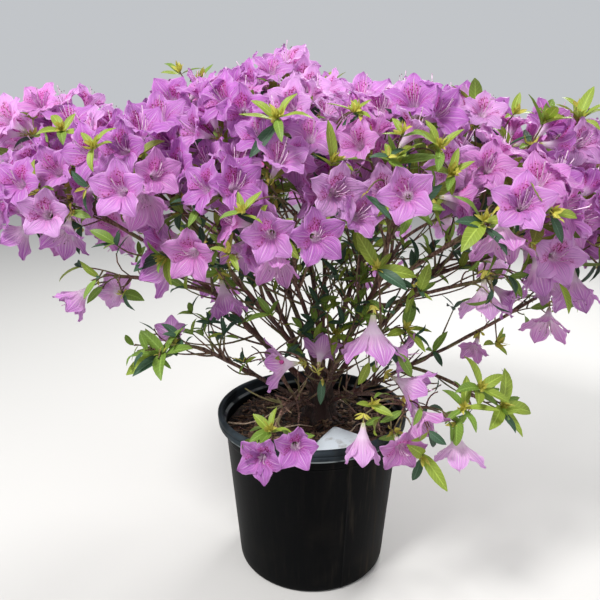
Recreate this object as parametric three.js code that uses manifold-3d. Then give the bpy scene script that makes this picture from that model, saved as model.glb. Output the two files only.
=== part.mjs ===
// A potted azalea in full bloom. Slim stems spread from a short root crown in a black nursery pot and
// carry a broad, open crown of lavender blossom, and a few low sprays hang over the pot's rim.
// Millimetres, +Z up. The origin is the middle of the pot's flat underside, and the front is -Y.
import * as THREE from "three";
import { mergeVertices } from "three/addons/utils/BufferGeometryUtils.js";
import Module from "manifold-3d";

// The pot: a thin tapered shell with a rolled lip
const POT_HEIGHT = 240;
const POT_BASE_RADIUS = 112;
const POT_NECK_RADIUS = 130;
const POT_WALL = 2.4;
const POT_FLOOR = 3;
const FOOT_BEVEL = 6;
const LIP_RADIUS = 140;
const LIP_DEPTH = 17;
const LIP_ROUND = 3;
const LIP_WIDTH = 8;
const POT_SIDES = 30;

// The potting mix, which fills the pot to just under its lip
const SOIL_TOP = 218;
const SOIL_EDGE_DROP = 6;
const SOIL_FLAT_RADIUS = 62;
const SOIL_CLEARANCE = 1;

// The blank plastic tag that lies on the mix inside the front of the lip
const TAG = { width: 44, length: 66, thickness: 1, corner: 5, x: 34, y: -84, lift: 6 };
const TAG_TILT = 0.12;
const TAG_TURN = -0.55;

// The root crown that all stems leave, leaning a little to the right
const CROWN_X = 10;
const CROWN_Y = 12;
const CROWN_LEAN = 0.12;
const CROWN_PROFILE = [
  { radius: 29, height: 0 },
  { radius: 22, height: 7 },
  { radius: 18, height: 20 },
  { radius: 16, height: 40 },
  { radius: 13, height: 58 },
];
const CROWN_SIDES = 20;
const CROWN_RIDGES = 5;
const CROWN_RIDGE_DEPTH = 0.12;

// Pieces that meet keep this much air between them
const GAP = 0.3;

// Wood. Sides and steps set how finely a limb, stem or twig is faceted.
const LIMB_SIDES = 5;
const LIMB_STEPS = 6;
const LIMB_OFFSET = 7;
const STEM_SIDES = 4;
const STEM_STEPS = 3;
const STEM_ROOT_RADIUS = 3;
const STEM_TIP_RADIUS = 2.2;
const TWIG_SIDES = 3;
const TWIG_STEPS = 2;
const TWIG_ROOT_RADIUS = 1.6;
const TWIG_TIP_RADIUS = 1.3;

// A blossom is a funnel with five lobes, a leaf a thin blade
const BLOSSOM_RADIUS = 45;
const BLOSSOM_NOTCH = 0.62;
const BLOSSOM_DEPTH = 34;
const BLOSSOM_THROAT = 15;
const BLOSSOM_SINK = 7;
const BLOSSOM_LEAN = 0.5;
const BLOSSOM_TRIES = 4;
const BLOSSOM_RIBS = 10;
const LEAF_LENGTH = 50;
const LEAF_WIDTH = 19;
const LEAF_THICKNESS = 0.9;
const LEAF_SINK = 0.4;
const LEAF_STEP = 0.14;
const LEAF_SPLAY = 1.15;

// The rule by which a mass grows: its shoots fan out over a cap that faces away from the crown's heart
const CROWN_HEART = new THREE.Vector3(0, 0, 430);
const GOLDEN_ANGLE = Math.PI * (3 - Math.sqrt(5));
const CAP_ANGLE = 1.75;
const STEM_BARE = 0.7;
const TURN_SPREAD = 0.7;
const SHORTEST_SHOOT = 0.82;
const SHOOT_PULL = 0.45;
const STEM_PULL = 0.5;
const SIDE_STEM_FOLLOW = 0.3;
const LEAVES_WITHOUT_BLOSSOM = 4;
const LEAF_TURN = Math.PI / 3;
const FIRST_LEAF_AT = 0.7;
const FIRST_LEAF_AT_BARE_TIP = 0.96;
const MOSTLY_IN_BLOSSOM = 0.5;
const UP = new THREE.Vector3(0, 0, 1);
const LEAST_SIDE = 0.1;

// A limb that loses more than this share where it passes others is in the wrong place
const LARGEST_CUT = 0.25;

// Main limbs, each named by where it leads: its name, azimuth in degrees (0 to the right, 270 to the
// front), the reach and height of its tip, how far up the root crown it leaves, its bow, which makes it
// rise before it spreads, its crest, which lifts its middle, and its radius at the foot and at the tip
const LIMBS = [
  ["top", 118, 32, 560, 0.97, 0.1, 0, 4.2, 2.6],
  ["upper_left", 165, 118, 545, 0.93, 0.15, 0, 4.2, 2.6],
  ["upper_right", 28, 118, 540, 0.93, 0.12, 0, 4.2, 2.6],
  ["left", 190, 220, 500, 0.6, 0.02, 0, 4.8, 2.8],
  ["front_left", 220, 128, 450, 0.72, 0.08, 0, 4, 2.6],
  ["front", 250, 90, 470, 0.9, 0.12, 0, 3.6, 2.5],
  ["front_right", 310, 128, 450, 0.62, 0.08, 0, 4, 2.6],
  ["right", 355, 205, 485, 0.7, 0.06, 0, 4.4, 2.8],
  ["back_right", 42, 195, 470, 0.66, 0.06, 0, 4.4, 2.8],
  ["back", 84, 190, 470, 0.74, 0.08, 0, 4.4, 2.8],
  ["back_left", 132, 190, 470, 0.64, 0.06, 0, 4.4, 2.8],
  ["low_left", 202, 160, 350, 0.3, -0.05, 10, 3.4, 2.4],
  ["low_right", 345, 190, 350, 0.35, -0.05, 8, 3.4, 2.4],
  ["low_front", 288, 100, 345, 0.4, 0, 12, 3.2, 2.4],
  ["hanging_left", 252, 125, 287, 0.2, 0, 26, 2.8, 2.3],
  ["hanging_right", 314, 140, 300, 0.25, 0, 26, 3, 2.3],
];

// Masses of blossom and leaf: the name, the limb and how far along it the stem leaves, the azimuth, reach
// and height of its middle, how far its shoots reach, how flat it is, how much their ends lift (below 0
// they hang), their number, and the share that blossoms
const MASSES = [
  ["top", "top", 1, 124, 66, 660, 46, 1.05, 0.6, 6, 1],
  ["top_front", "top", 0.8, 282, 62, 605, 70, 0.8, 0.3, 5, 1],
  ["top_back", "top", 0.88, 92, 190, 626, 80, 0.7, 0.5, 5, 1],
  ["top_left", "upper_left", 0.86, 150, 152, 628, 68, 0.8, 0.5, 5, 1],
  ["upper_left", "upper_left", 1, 169, 162, 632, 50, 0.95, 0.5, 5, 1],
  ["top_right", "upper_right", 1, 34, 110, 618, 72, 0.7, 0.5, 5, 1],
  ["upper_right", "upper_right", 0.85, 30, 235, 604, 76, 0.75, 0.5, 6, 1],
  ["far_left", "left", 1, 178, 332, 596, 70, 0.8, 0.4, 6, 1],
  ["left", "left", 0.85, 195, 312, 554, 58, 0.75, 0.15, 6, 1],
  ["left_front", "front_left", 0.82, 205, 215, 588, 61, 0.66, 0.35, 6, 1],
  ["front_left", "front_left", 1, 229, 168, 530, 58, 0.95, 0.2, 5, 1],
  ["upper_front", "front", 1, 234, 122, 585, 68, 0.85, 0.3, 5, 1],
  ["front", "front", 0.85, 262, 140, 545, 60, 0.9, 0.15, 6, 1],
  ["middle_left", "front_left", 0.68, 210, 118, 620, 66, 0.68, 0.3, 5, 1],
  ["middle_right", "front_right", 0.92, 330, 128, 603, 66, 0.8, 0.3, 5, 1],
  ["front_right", "front_right", 1, 302, 165, 568, 64, 0.8, 0.2, 6, 0.9],
  ["right_front", "front_right", 0.85, 327, 250, 542, 64, 0.75, 0.15, 5, 0.8],
  ["right_low", "front_right", 0.7, 325, 248, 468, 46, 0.7, -0.7, 4, 0.8],
  ["right", "right", 1, 350, 225, 584, 72, 0.8, 0.3, 6, 1],
  ["far_right", "right", 0.88, 5, 330, 570, 72, 0.85, 0.3, 6, 1],
  ["right_side", "right", 0.76, 346, 325, 512, 62, 0.75, 0.1, 5, 1],
  ["back_right", "back_right", 1, 30, 318, 520, 76, 0.85, 0.15, 5, 1],
  ["upper_back_right", "back_right", 0.85, 60, 262, 585, 78, 0.8, 0.35, 5, 1],
  ["back", "back", 1, 88, 288, 545, 78, 0.85, 0.2, 5, 1],
  ["back_low", "back", 0.8, 72, 275, 445, 66, 0.85, 0, 4, 0.6],
  ["back_left", "back_left", 1, 122, 282, 580, 78, 0.85, 0.3, 5, 1],
  ["left_back", "back_left", 0.84, 152, 310, 548, 74, 0.85, 0.1, 5, 1],
  ["back_left_low", "back_left", 0.7, 128, 268, 440, 66, 0.85, 0, 4, 0.6],
  ["low_left", "low_left", 1, 203, 212, 362, 46, 0.6, 0, 4, 0.25],
  ["left_low", "left", 0.66, 204, 268, 462, 48, 0.66, -0.3, 4, 0.7],
  ["low_right", "low_right", 1, 358, 315, 414, 52, 0.7, -0.5, 4, 0.6],
  ["low_front_right", "low_right", 0.7, 332, 240, 305, 46, 0.5, 0.1, 4, 0],
  ["low_front", "low_front", 1, 302, 158, 396, 46, 0.75, -0.45, 4, 0.9],
  ["low_middle", "hanging_left", 0.6, 236, 95, 350, 38, 0.7, 0.1, 3, 0.8],
  ["hanging_left", "hanging_left", 1, 255, 170, 286, 38, 0.6, -0.15, 3, 1],
  ["hanging_right", "hanging_right", 1, 308, 196, 309, 54, 0.6, -0.7, 6, 0.9],
];
const FIRST_SEED = 101;
const SEED_STEP = 37;

const wasm = await Module();
wasm.setup();

// Materials, by the look of each kind of piece
const blackPlastic = new THREE.MeshStandardMaterial({ color: 0x17191a, roughness: 0.45, metalness: 0 });
const barkMix = new THREE.MeshStandardMaterial({ color: 0x3b2a20, roughness: 0.95, metalness: 0 });
const whitePlastic = new THREE.MeshStandardMaterial({ color: 0xdfe3e4, roughness: 0.4, metalness: 0 });
const bark = new THREE.MeshStandardMaterial({ color: 0x4f382c, roughness: 0.9, metalness: 0 });
const blossom = new THREE.MeshStandardMaterial({ color: 0xc77fd0, roughness: 0.6, metalness: 0 });
const youngLeaf = new THREE.MeshStandardMaterial({ color: 0x6f9a35, roughness: 0.55, metalness: 0 });

// A repeatable stream of numbers from 0 up to 1
function randomFrom(seed) {
  let state = seed;
  return () => {
    state = (state * 1664525 + 1013904223) % 4294967296;
    return state / 4294967296;
  };
}

// The point at an azimuth in degrees and a reach from the pot's axis
function place(azimuth, reach, height) {
  const angle = THREE.MathUtils.degToRad(azimuth);
  return new THREE.Vector3(reach * Math.cos(angle), reach * Math.sin(angle), height);
}

// A closed solid from a closed geometry
function solidOf(geometry) {
  const bare = geometry.index ? geometry.toNonIndexed() : geometry.clone();
  bare.deleteAttribute("normal");
  bare.deleteAttribute("uv");
  const merged = mergeVertices(bare, 1e-4);
  return new wasm.Manifold(
    new wasm.Mesh({
      numProp: 3,
      vertProperties: new Float32Array(merged.getAttribute("position").array),
      triVerts: new Uint32Array(merged.index.array),
    }),
  );
}

// A geometry from a closed solid
function geometryOf(solid) {
  const mesh = solid.getMesh();
  const geometry = new THREE.BufferGeometry();
  geometry.setAttribute("position", new THREE.BufferAttribute(new Float32Array(mesh.vertProperties), 3));
  geometry.setIndex(new THREE.BufferAttribute(new Uint32Array(mesh.triVerts), 1));
  geometry.computeVertexNormals();
  return geometry;
}

// The largest of the bodies that a solid falls into
function largestBody(solid) {
  const larger = (one, other) => (other.volume() > one.volume() ? other : one);
  return solid.decompose().reduce(larger);
}

// The box round a solid
function boxOf(solid) {
  const { min, max } = solid.boundingBox();
  return new THREE.Box3(new THREE.Vector3(...min), new THREE.Vector3(...max));
}

// A tapering bar with flat ends: a cylinder bent along a curve
function barAlong(curve, rootRadius, tipRadius, sides, steps) {
  const bar = new THREE.CylinderGeometry(tipRadius, rootRadius, 1, sides, steps);
  const frames = curve.computeFrenetFrames(steps);
  const position = bar.getAttribute("position");
  for (let i = 0; i < position.count; i++) {
    const step = Math.round((position.getY(i) + 0.5) * steps);
    const point = curve.getPointAt(step / steps);
    point.addScaledVector(frames.binormals[step], position.getX(i));
    point.addScaledVector(frames.normals[step], position.getZ(i));
    position.setXYZ(i, point.x, point.y, point.z);
  }
  return bar;
}

// A point on the middle line of such a bar, which runs straight from step to step
function chordPoint(curve, steps, at) {
  const step = Math.min(Math.floor(at * steps), steps - 1);
  return curve.getPointAt(step / steps).lerp(curve.getPointAt((step + 1) / steps), at * steps - step);
}

// The pot's shell: its outline runs out along the foot, up the wall, over the lip and down inside
function makePot() {
  const neckHeight = POT_HEIGHT - LIP_DEPTH;
  const wallTop = neckHeight + POT_WALL;
  const outline = [
    [0, 0],
    [POT_BASE_RADIUS - FOOT_BEVEL, 0],
    [POT_BASE_RADIUS, FOOT_BEVEL],
    [POT_NECK_RADIUS, neckHeight],
    [LIP_RADIUS - LIP_ROUND, neckHeight],
    [LIP_RADIUS, neckHeight + LIP_ROUND],
    [LIP_RADIUS, POT_HEIGHT - LIP_ROUND],
    [LIP_RADIUS - LIP_ROUND, POT_HEIGHT],
    [LIP_RADIUS - LIP_WIDTH, POT_HEIGHT],
    [POT_NECK_RADIUS - POT_WALL, wallTop],
    [POT_BASE_RADIUS - POT_WALL, POT_FLOOR + FOOT_BEVEL],
    [POT_BASE_RADIUS - POT_WALL - FOOT_BEVEL, POT_FLOOR],
    [0, POT_FLOOR],
  ];
  const profile = outline.map(([radius, height]) => new THREE.Vector2(radius, height));
  return new THREE.LatheGeometry(profile, POT_SIDES).rotateX(Math.PI / 2);
}

// The potting mix, level round the root crown and lower at the wall
function makeSoil() {
  const low = POT_FLOOR + GAP;
  const edgeHeight = SOIL_TOP - SOIL_EDGE_DROP;
  const slope = (POT_NECK_RADIUS - POT_BASE_RADIUS) / (POT_HEIGHT - LIP_DEPTH - FOOT_BEVEL);
  const baseRadius = POT_BASE_RADIUS - POT_WALL - SOIL_CLEARANCE;
  const innerRadius = (height) => baseRadius + slope * (height - FOOT_BEVEL - POT_FLOOR);
  const outline = [
    [0, low],
    [innerRadius(low) - FOOT_BEVEL, low],
    [innerRadius(low + FOOT_BEVEL), low + FOOT_BEVEL],
    [innerRadius(edgeHeight), edgeHeight],
    [SOIL_FLAT_RADIUS, SOIL_TOP],
    [0, SOIL_TOP],
  ];
  const profile = outline.map(([radius, height]) => new THREE.Vector2(radius, height));
  return new THREE.LatheGeometry(profile, POT_SIDES).rotateX(Math.PI / 2);
}

// The blank tag: a rounded card, lying tilted on the mix
function makeTag() {
  const { width, length, corner, thickness } = TAG;
  const card = new THREE.Shape();
  card.moveTo(-width / 2 + corner, -length / 2);
  card.lineTo(width / 2 - corner, -length / 2);
  card.absarc(width / 2 - corner, -length / 2 + corner, corner, -Math.PI / 2, 0);
  card.lineTo(width / 2, length / 2 - corner);
  card.absarc(width / 2 - corner, length / 2 - corner, corner, 0, Math.PI / 2);
  card.lineTo(-width / 2 + corner, length / 2);
  card.absarc(-width / 2 + corner, length / 2 - corner, corner, Math.PI / 2, Math.PI);
  card.lineTo(-width / 2, -length / 2 + corner);
  card.absarc(-width / 2 + corner, -length / 2 + corner, corner, Math.PI, 1.5 * Math.PI);
  return new THREE.ExtrudeGeometry(card, { depth: thickness, bevelEnabled: false, curveSegments: 3 });
}

// The root crown, with ridges that run down into its flare
function makeRootCrown(grown = 0) {
  const top = CROWN_PROFILE.at(-1);
  const profile = [new THREE.Vector2(0, -grown)];
  for (const { radius, height } of CROWN_PROFILE) profile.push(new THREE.Vector2(radius + grown, height));
  profile[1].y = -grown;
  profile.at(-1).y = top.height + grown;
  profile.push(new THREE.Vector2(0, top.height + grown));
  const geometry = new THREE.LatheGeometry(profile, CROWN_SIDES).rotateX(Math.PI / 2);
  const position = geometry.getAttribute("position");
  for (let i = 0; i < position.count; i++) {
    const height = position.getZ(i);
    const angle = Math.atan2(position.getY(i), position.getX(i));
    const flare = 1 - height / (top.height + 2 * grown);
    const swell = 1 + CROWN_RIDGE_DEPTH * flare * Math.cos(CROWN_RIDGES * angle);
    position.setXYZ(
      i,
      CROWN_X + position.getX(i) * swell + CROWN_LEAN * height,
      CROWN_Y + position.getY(i) * swell,
      SOIL_TOP + GAP + height,
    );
  }
  return geometry;
}

// The root crown's middle line, which limbs leave
function rootCrownLine() {
  const height = CROWN_PROFILE.at(-1).height;
  const foot = new THREE.Vector3(CROWN_X, CROWN_Y, SOIL_TOP + GAP);
  const top = new THREE.Vector3(CROWN_X + CROWN_LEAN * height, CROWN_Y, SOIL_TOP + GAP + height);
  return new THREE.LineCurve3(foot, top);
}

// A limb's middle line: up first and then out, by its bow and its crest
function limbLine(limb, parentLine) {
  const start = parentLine.getPointAt(limb.at).add(place(limb.azimuth, LIMB_OFFSET, 0));
  const tip = place(limb.azimuth, limb.reach, limb.height);
  const bend = start.clone().lerp(tip, 0.5 - limb.bow);
  bend.z = THREE.MathUtils.lerp(start.z, tip.z, 0.5 + limb.bow) + limb.crest;
  return new THREE.QuadraticBezierCurve3(start, bend, tip);
}

// One blossom, with its base at the origin, facing +Z and its first lobe towards +Y: a ten-sided
// funnel with a hollow throat, whose every other rib is drawn in to the notch between two lobes
function makeBlossom() {
  const profile = [
    new THREE.Vector2(0, -BLOSSOM_SINK),
    new THREE.Vector2(BLOSSOM_RADIUS, BLOSSOM_DEPTH),
    new THREE.Vector2(0, BLOSSOM_THROAT),
  ];
  const funnel = new THREE.LatheGeometry(profile, BLOSSOM_RIBS).rotateX(Math.PI / 2);
  const position = funnel.getAttribute("position");
  for (let i = 0; i < position.count; i++) {
    const angle = Math.atan2(position.getY(i), position.getX(i)) - Math.PI / 2;
    const rib = Math.round((angle * BLOSSOM_RIBS) / (2 * Math.PI));
    const share = rib % 2 === 0 ? 1 : BLOSSOM_NOTCH;
    position.setXYZ(i, position.getX(i) * share, position.getY(i) * share, position.getZ(i));
  }
  return funnel;
}

// One leaf, with its foot at the origin and its tip along +Y: an octahedron drawn out to a blade
function makeLeaf() {
  const blade = new THREE.OctahedronGeometry(1);
  blade.scale(LEAF_WIDTH / 2, LEAF_LENGTH / 2, LEAF_THICKNESS / 2);
  blade.translate(0, LEAF_LENGTH / 2 - LEAF_SINK, 0);
  return blade;
}

// Turns +Z to an axis, with +Y as near to straight up as that leaves
function facing(axis, point) {
  const side = new THREE.Vector3().crossVectors(UP, axis);
  if (side.length() < LEAST_SIDE) side.set(1, 0, 0);
  side.normalize();
  const dorsal = new THREE.Vector3().crossVectors(axis, side).normalize();
  return new THREE.Matrix4().makeBasis(side, dorsal, axis).setPosition(point);
}

// Turns +Y to an axis, with +Z as near to straight up as that leaves
function lying(axis, point) {
  const side = new THREE.Vector3().crossVectors(axis, UP);
  if (side.length() < LEAST_SIDE) side.set(1, 0, 0);
  side.normalize();
  const face = new THREE.Vector3().crossVectors(side, axis).normalize();
  return new THREE.Matrix4().makeBasis(side, axis, face).setPosition(point);
}

// A direction that leans off an axis by an angle, at a turn round it
function leaning(axis, angle, turn) {
  const side = new THREE.Vector3().crossVectors(axis, UP);
  if (side.length() < LEAST_SIDE) side.set(1, 0, 0);
  side.normalize();
  const rise = new THREE.Vector3().crossVectors(side, axis);
  const out = side.multiplyScalar(Math.cos(turn)).addScaledVector(rise, Math.sin(turn));
  return axis.clone().multiplyScalar(Math.cos(angle)).addScaledVector(out, Math.sin(angle)).normalize();
}

// The shoots of a mass: a curve for each, the way its end points, and a turn for what it carries
function shootsOf(mass, stem, heart) {
  const random = randomFrom(mass.seed);
  const away = heart.clone().sub(CROWN_HEART).normalize();
  const shoots = [];
  for (let i = 0; i < mass.shoots; i++) {
    const share = (i + 0.5) / mass.shoots;
    const polar = Math.acos(1 - share * (1 - Math.cos(CAP_ANGLE)));
    const spread = leaning(away, polar, i * GOLDEN_ANGLE + TURN_SPREAD * random());
    const length = mass.size * (SHORTEST_SHOOT + (1 - SHORTEST_SHOOT) * random());
    const reached = new THREE.Vector3(spread.x, spread.y, spread.z * mass.flat);
    const tip = heart.clone().addScaledVector(reached, length);
    const end = spread.clone().addScaledVector(UP, mass.lift).normalize();
    const start = chordPoint(stem, STEM_STEPS, 1 - STEM_BARE * share);
    const bend = tip.clone().addScaledVector(end, -SHOOT_PULL * start.distanceTo(tip));
    shoots.push({
      curve: new THREE.QuadraticBezierCurve3(start, bend, tip),
      end,
      turn: 2 * Math.PI * random(),
      blooms: random() < mass.bloom,
      leafy: i % 2,
    });
  }
  return shoots;
}

// Everything that has been placed so far, by the node that owns it
const placed = [];

function meets(solid, other) {
  return other.box.intersectsBox(boxOf(solid)) && solid.intersect(other.solid).volume() > 0;
}

function isClear(solid, owner) {
  return !placed.some((other) => other.owner !== owner && meets(solid, other));
}

function keep(solid, owner) {
  placed.push({ solid, owner, box: boxOf(solid) });
}

// The stem of a mass: its middle line, and its solid cut clear of the limb that it leaves
function makeStem(mass, limb) {
  const heart = place(mass.azimuth, mass.reach, mass.height);
  const start = limb.line.getPointAt(mass.at);
  const follow = mass.at === 1 ? 1 : SIDE_STEM_FOLLOW;
  const onward = heart.clone().sub(start).normalize();
  onward.addScaledVector(limb.line.getTangentAt(mass.at), follow).normalize();
  const bend = start.clone().addScaledVector(onward, STEM_PULL * start.distanceTo(heart));
  const line = new THREE.QuadraticBezierCurve3(start, bend, heart);
  const root = Math.min(STEM_ROOT_RADIUS, limb.tipRadius);
  const bar = solidOf(barAlong(line, root, STEM_TIP_RADIUS, STEM_SIDES, STEM_STEPS));
  const solid = largestBody(bar.subtract(limb.grown));
  const blocker = placed.find((other) => meets(solid, other));
  if (blocker) throw new Error(`${mass.name}: its stem meets ${blocker.owner}`);
  return { heart, line, solid };
}

// One mass as a single solid: its stem, and the shoots, blossoms and leaves that have room
function makeMass(mass, { heart, line, solid: rooted }) {
  const pieces = [{ solid: rooted, box: boxOf(rooted) }];
  const grow = (shape, parent) => {
    const solid = solidOf(shape);
    const crowds = pieces.some((other) => other !== parent && meets(solid, other));
    if (crowds || !isClear(solid, mass.name)) return null;
    const piece = { solid, box: boxOf(solid) };
    pieces.push(piece);
    return piece;
  };
  const twigSizes = [TWIG_ROOT_RADIUS, TWIG_TIP_RADIUS, TWIG_SIDES, TWIG_STEPS];
  for (const shoot of shootsOf(mass, line, heart)) {
    const twig = grow(barAlong(shoot.curve, ...twigSizes), pieces[0]);
    if (!twig) continue;
    const tip = shoot.curve.getPointAt(1);
    for (let k = 0; shoot.blooms && k < BLOSSOM_TRIES; k++) {
      const axis = leaning(shoot.end, BLOSSOM_LEAN * (1 + k / 2), shoot.turn + k * GOLDEN_ANGLE);
      if (grow(blossomShape.clone().applyMatrix4(facing(axis, tip)), twig)) break;
    }
    const leaves = shoot.blooms ? shoot.leafy : LEAVES_WITHOUT_BLOSSOM;
    const firstAt = shoot.blooms ? FIRST_LEAF_AT : FIRST_LEAF_AT_BARE_TIP;
    for (let k = 0; k < leaves; k++) {
      const axis = leaning(shoot.end, LEAF_SPLAY, shoot.turn + LEAF_TURN + k * GOLDEN_ANGLE);
      const foot = chordPoint(shoot.curve, TWIG_STEPS, firstAt - LEAF_STEP * k);
      grow(leafShape.clone().applyMatrix4(lying(axis, foot)), twig);
    }
  }
  for (const { solid } of pieces.slice(1)) keep(solid, mass.name);
  return largestBody(wasm.Manifold.union(pieces.map(({ solid }) => solid)));
}

const blossomShape = makeBlossom();
const leafShape = makeLeaf();
const azalea = new THREE.Group();

function addNode(name, geometry, material) {
  const mesh = new THREE.Mesh(geometry, material);
  mesh.name = name;
  azalea.add(mesh);
  return mesh;
}

// The pot and what lies in it
const pot = makePot();
const soil = makeSoil();
addNode("pot", pot, blackPlastic);
addNode("soil", soil, barkMix);
keep(solidOf(pot), "pot");
keep(solidOf(soil), "soil");
const tag = addNode("plant_tag", makeTag(), whitePlastic);
tag.position.set(TAG.x, TAG.y, SOIL_TOP + TAG.lift);
tag.rotation.set(TAG_TILT, 0, TAG_TURN);
tag.updateMatrix();
keep(solidOf(tag.geometry.clone().applyMatrix4(tag.matrix)), "plant_tag");

// The root crown and the limbs, each cut clear of it and of the limbs before
const rootCrown = makeRootCrown();
const crownLine = rootCrownLine();
addNode("root_crown", rootCrown, bark);
keep(solidOf(rootCrown), "root_crown");
let grownWood = solidOf(makeRootCrown(GAP));
const limbs = new Map();
for (const [name, azimuth, reach, height, at, bow, crest, root, tip] of LIMBS) {
  const line = limbLine({ azimuth, reach, height, at, bow, crest }, crownLine);
  const bar = solidOf(barAlong(line, root, tip, LIMB_SIDES, LIMB_STEPS));
  const solid = largestBody(bar.subtract(grownWood));
  if (solid.volume() < (1 - LARGEST_CUT) * bar.volume()) throw new Error(`limb ${name} is cut through`);
  const longer = line.clone();
  longer.v2.addScaledVector(line.getTangentAt(1), GAP);
  const grown = solidOf(barAlong(longer, root + GAP, tip + GAP, LIMB_SIDES, LIMB_STEPS));
  grownWood = grownWood.add(grown);
  limbs.set(name, { line, grown, tipRadius: tip });
  keep(solid, "limb_" + name);
  addNode("limb_" + name, geometryOf(solid), bark);
}

// The stems of all masses first, so that no blossom takes their place, and then the masses
const masses = MASSES.map(([name, limb, at, azimuth, reach, height, size, flat, lift, shoots, bloom], i) => {
  const mass = { name: "mass_" + name, at, azimuth, reach, height, size, flat, lift, shoots, bloom };
  const stem = makeStem(mass, limbs.get(limb));
  keep(stem.solid, mass.name);
  return { ...mass, seed: FIRST_SEED + SEED_STEP * i, stem };
});
for (const mass of masses) {
  const material = mass.bloom >= MOSTLY_IN_BLOSSOM ? blossom : youngLeaf;
  addNode(mass.name, geometryOf(makeMass(mass, mass.stem)), material);
}

export default azalea;
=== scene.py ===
import math

import bpy
import numpy as np
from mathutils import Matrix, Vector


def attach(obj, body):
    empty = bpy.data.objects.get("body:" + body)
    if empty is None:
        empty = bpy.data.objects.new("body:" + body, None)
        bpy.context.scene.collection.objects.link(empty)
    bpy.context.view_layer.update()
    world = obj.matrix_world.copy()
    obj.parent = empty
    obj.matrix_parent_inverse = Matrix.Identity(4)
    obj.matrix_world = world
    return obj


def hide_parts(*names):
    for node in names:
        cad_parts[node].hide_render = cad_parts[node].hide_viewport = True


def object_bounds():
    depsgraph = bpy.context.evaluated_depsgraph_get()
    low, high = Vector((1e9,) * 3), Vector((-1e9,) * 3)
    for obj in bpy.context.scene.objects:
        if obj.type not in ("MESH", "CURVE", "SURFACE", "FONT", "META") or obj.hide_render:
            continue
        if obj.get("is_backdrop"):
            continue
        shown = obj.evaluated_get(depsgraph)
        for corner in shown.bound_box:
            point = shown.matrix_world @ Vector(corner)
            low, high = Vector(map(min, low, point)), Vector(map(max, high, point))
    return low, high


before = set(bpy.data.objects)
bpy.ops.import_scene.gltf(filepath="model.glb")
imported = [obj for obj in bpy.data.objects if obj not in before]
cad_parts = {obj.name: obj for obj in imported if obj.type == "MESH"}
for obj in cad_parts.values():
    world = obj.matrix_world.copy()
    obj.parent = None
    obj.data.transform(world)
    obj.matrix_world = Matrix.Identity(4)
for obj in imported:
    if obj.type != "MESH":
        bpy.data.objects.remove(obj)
cad_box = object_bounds()

# The nursery pot is blown in black polyethylene. Its thin wall tapers to a rounded foot, its top is
# rolled over into a stiff lip, and the ring inside the lip is where the next pot of a stack rests.
# Sizes are in millimetres, and the meshes are made in metres, which their materials' sizes are in too.
METRES = 0.001
POT_HEIGHT = 240
POT_BASE_RADIUS = 112
POT_NECK_RADIUS = 130
POT_WALL = 2.4
LIP_RADIUS = 140
LIP_DEPTH = 17
LIP_WIDTH = 8
FOOT_RING = 12
FOOT_HOLLOW = 3
POT_SIDES = 160
SEAM_AZIMUTHS = (293, 113)
SEAM_HEIGHT = 0.7
SEAM_WIDTH = 1.6
DENT_DEPTH = 0.7
DENT_FADE = 30
BLACK = (0.0022, 0.0024, 0.0027, 1)
DUST_AND_LIGHT = (0.040, 0.032, 0.024, 1)
SHEEN_AND_SCUFF = (0.050, 0.066, 0.078, 1)
EDGE_GLINT = (0.24, 0.27, 0.27, 1)


class Signal:
    """A socket of a material's nodes. A sum or product of signals adds the Math nodes that give it."""

    def __init__(self, socket):
        self.socket = socket

    def node(self, kind, settings, inputs, output=0):
        """Adds a node, makes its settings, feeds its sockets and gives one of its outputs."""
        added = self.socket.id_data.nodes.new("ShaderNode" + kind)
        for name, value in settings.items():
            setattr(added, name, value)
        feed(added, inputs)
        return Signal(added.outputs[output])

    def math(self, operation, *others):
        return self.node("Math", {"operation": operation}, dict(enumerate((self, *others))))

    def __add__(self, other):
        return self.math("ADD", other)

    def __sub__(self, other):
        return self.math("SUBTRACT", other)

    def __mul__(self, other):
        return self.math("MULTIPLY", other)

    __radd__ = __add__
    __rmul__ = __mul__

    def ramp(self, low, high):
        """Rises smoothly from 0 at a low value to 1 at a high one, or falls where low is the larger."""
        ends = {"Value": self, "From Min": low, "From Max": high}
        return self.node("MapRange", {"interpolation_type": "SMOOTHSTEP"}, ends)

    def mixed(self, colour, other):
        """The first colour where this is 0 and the other where it is 1."""
        return self.node("Mix", {"data_type": "RGBA"}, {0: self, 6: colour, 7: other}, 2)

    def stretched(self, *factors):
        """A place drawn out along each axis, for a grain that runs one way."""
        return self.node("VectorMath", {"operation": "MULTIPLY"}, {0: self, 1: factors})

    def noise(self, scale, detail=2.0):
        return self.node("TexNoise", {}, {"Vector": self, "Scale": scale, "Detail": detail})

    def bump(self, strength, distance):
        depth = {"Strength": strength, "Distance": distance, "Height": self}
        return self.node("Bump", {}, depth)

    def axes(self):
        """The X, Y and Z of a place."""
        parts = self.node("SeparateXYZ", {}, {0: self}).socket.node
        return [Signal(output) for output in parts.outputs]


def feed(node, inputs):
    """Gives values or signals to the sockets of a node."""
    for name, value in inputs.items():
        if isinstance(value, Signal):
            node.id_data.links.new(value.socket, node.inputs[name])
        else:
            node.inputs[name].default_value = value


def start_material(name):
    """A new material, and the place on the object that its patterns are reckoned from."""
    material = bpy.data.materials.new(name)
    material.use_nodes = True
    shader = material.node_tree.nodes["Principled BSDF"]
    place_on_object = Signal(shader.outputs[0]).node("TexCoord", {}, {}, "Object")
    return material, place_on_object


def feed_shader(material, inputs):
    """Gives values or signals to the sockets of a material's main shader."""
    feed(material.node_tree.nodes["Principled BSDF"], inputs)


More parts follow.
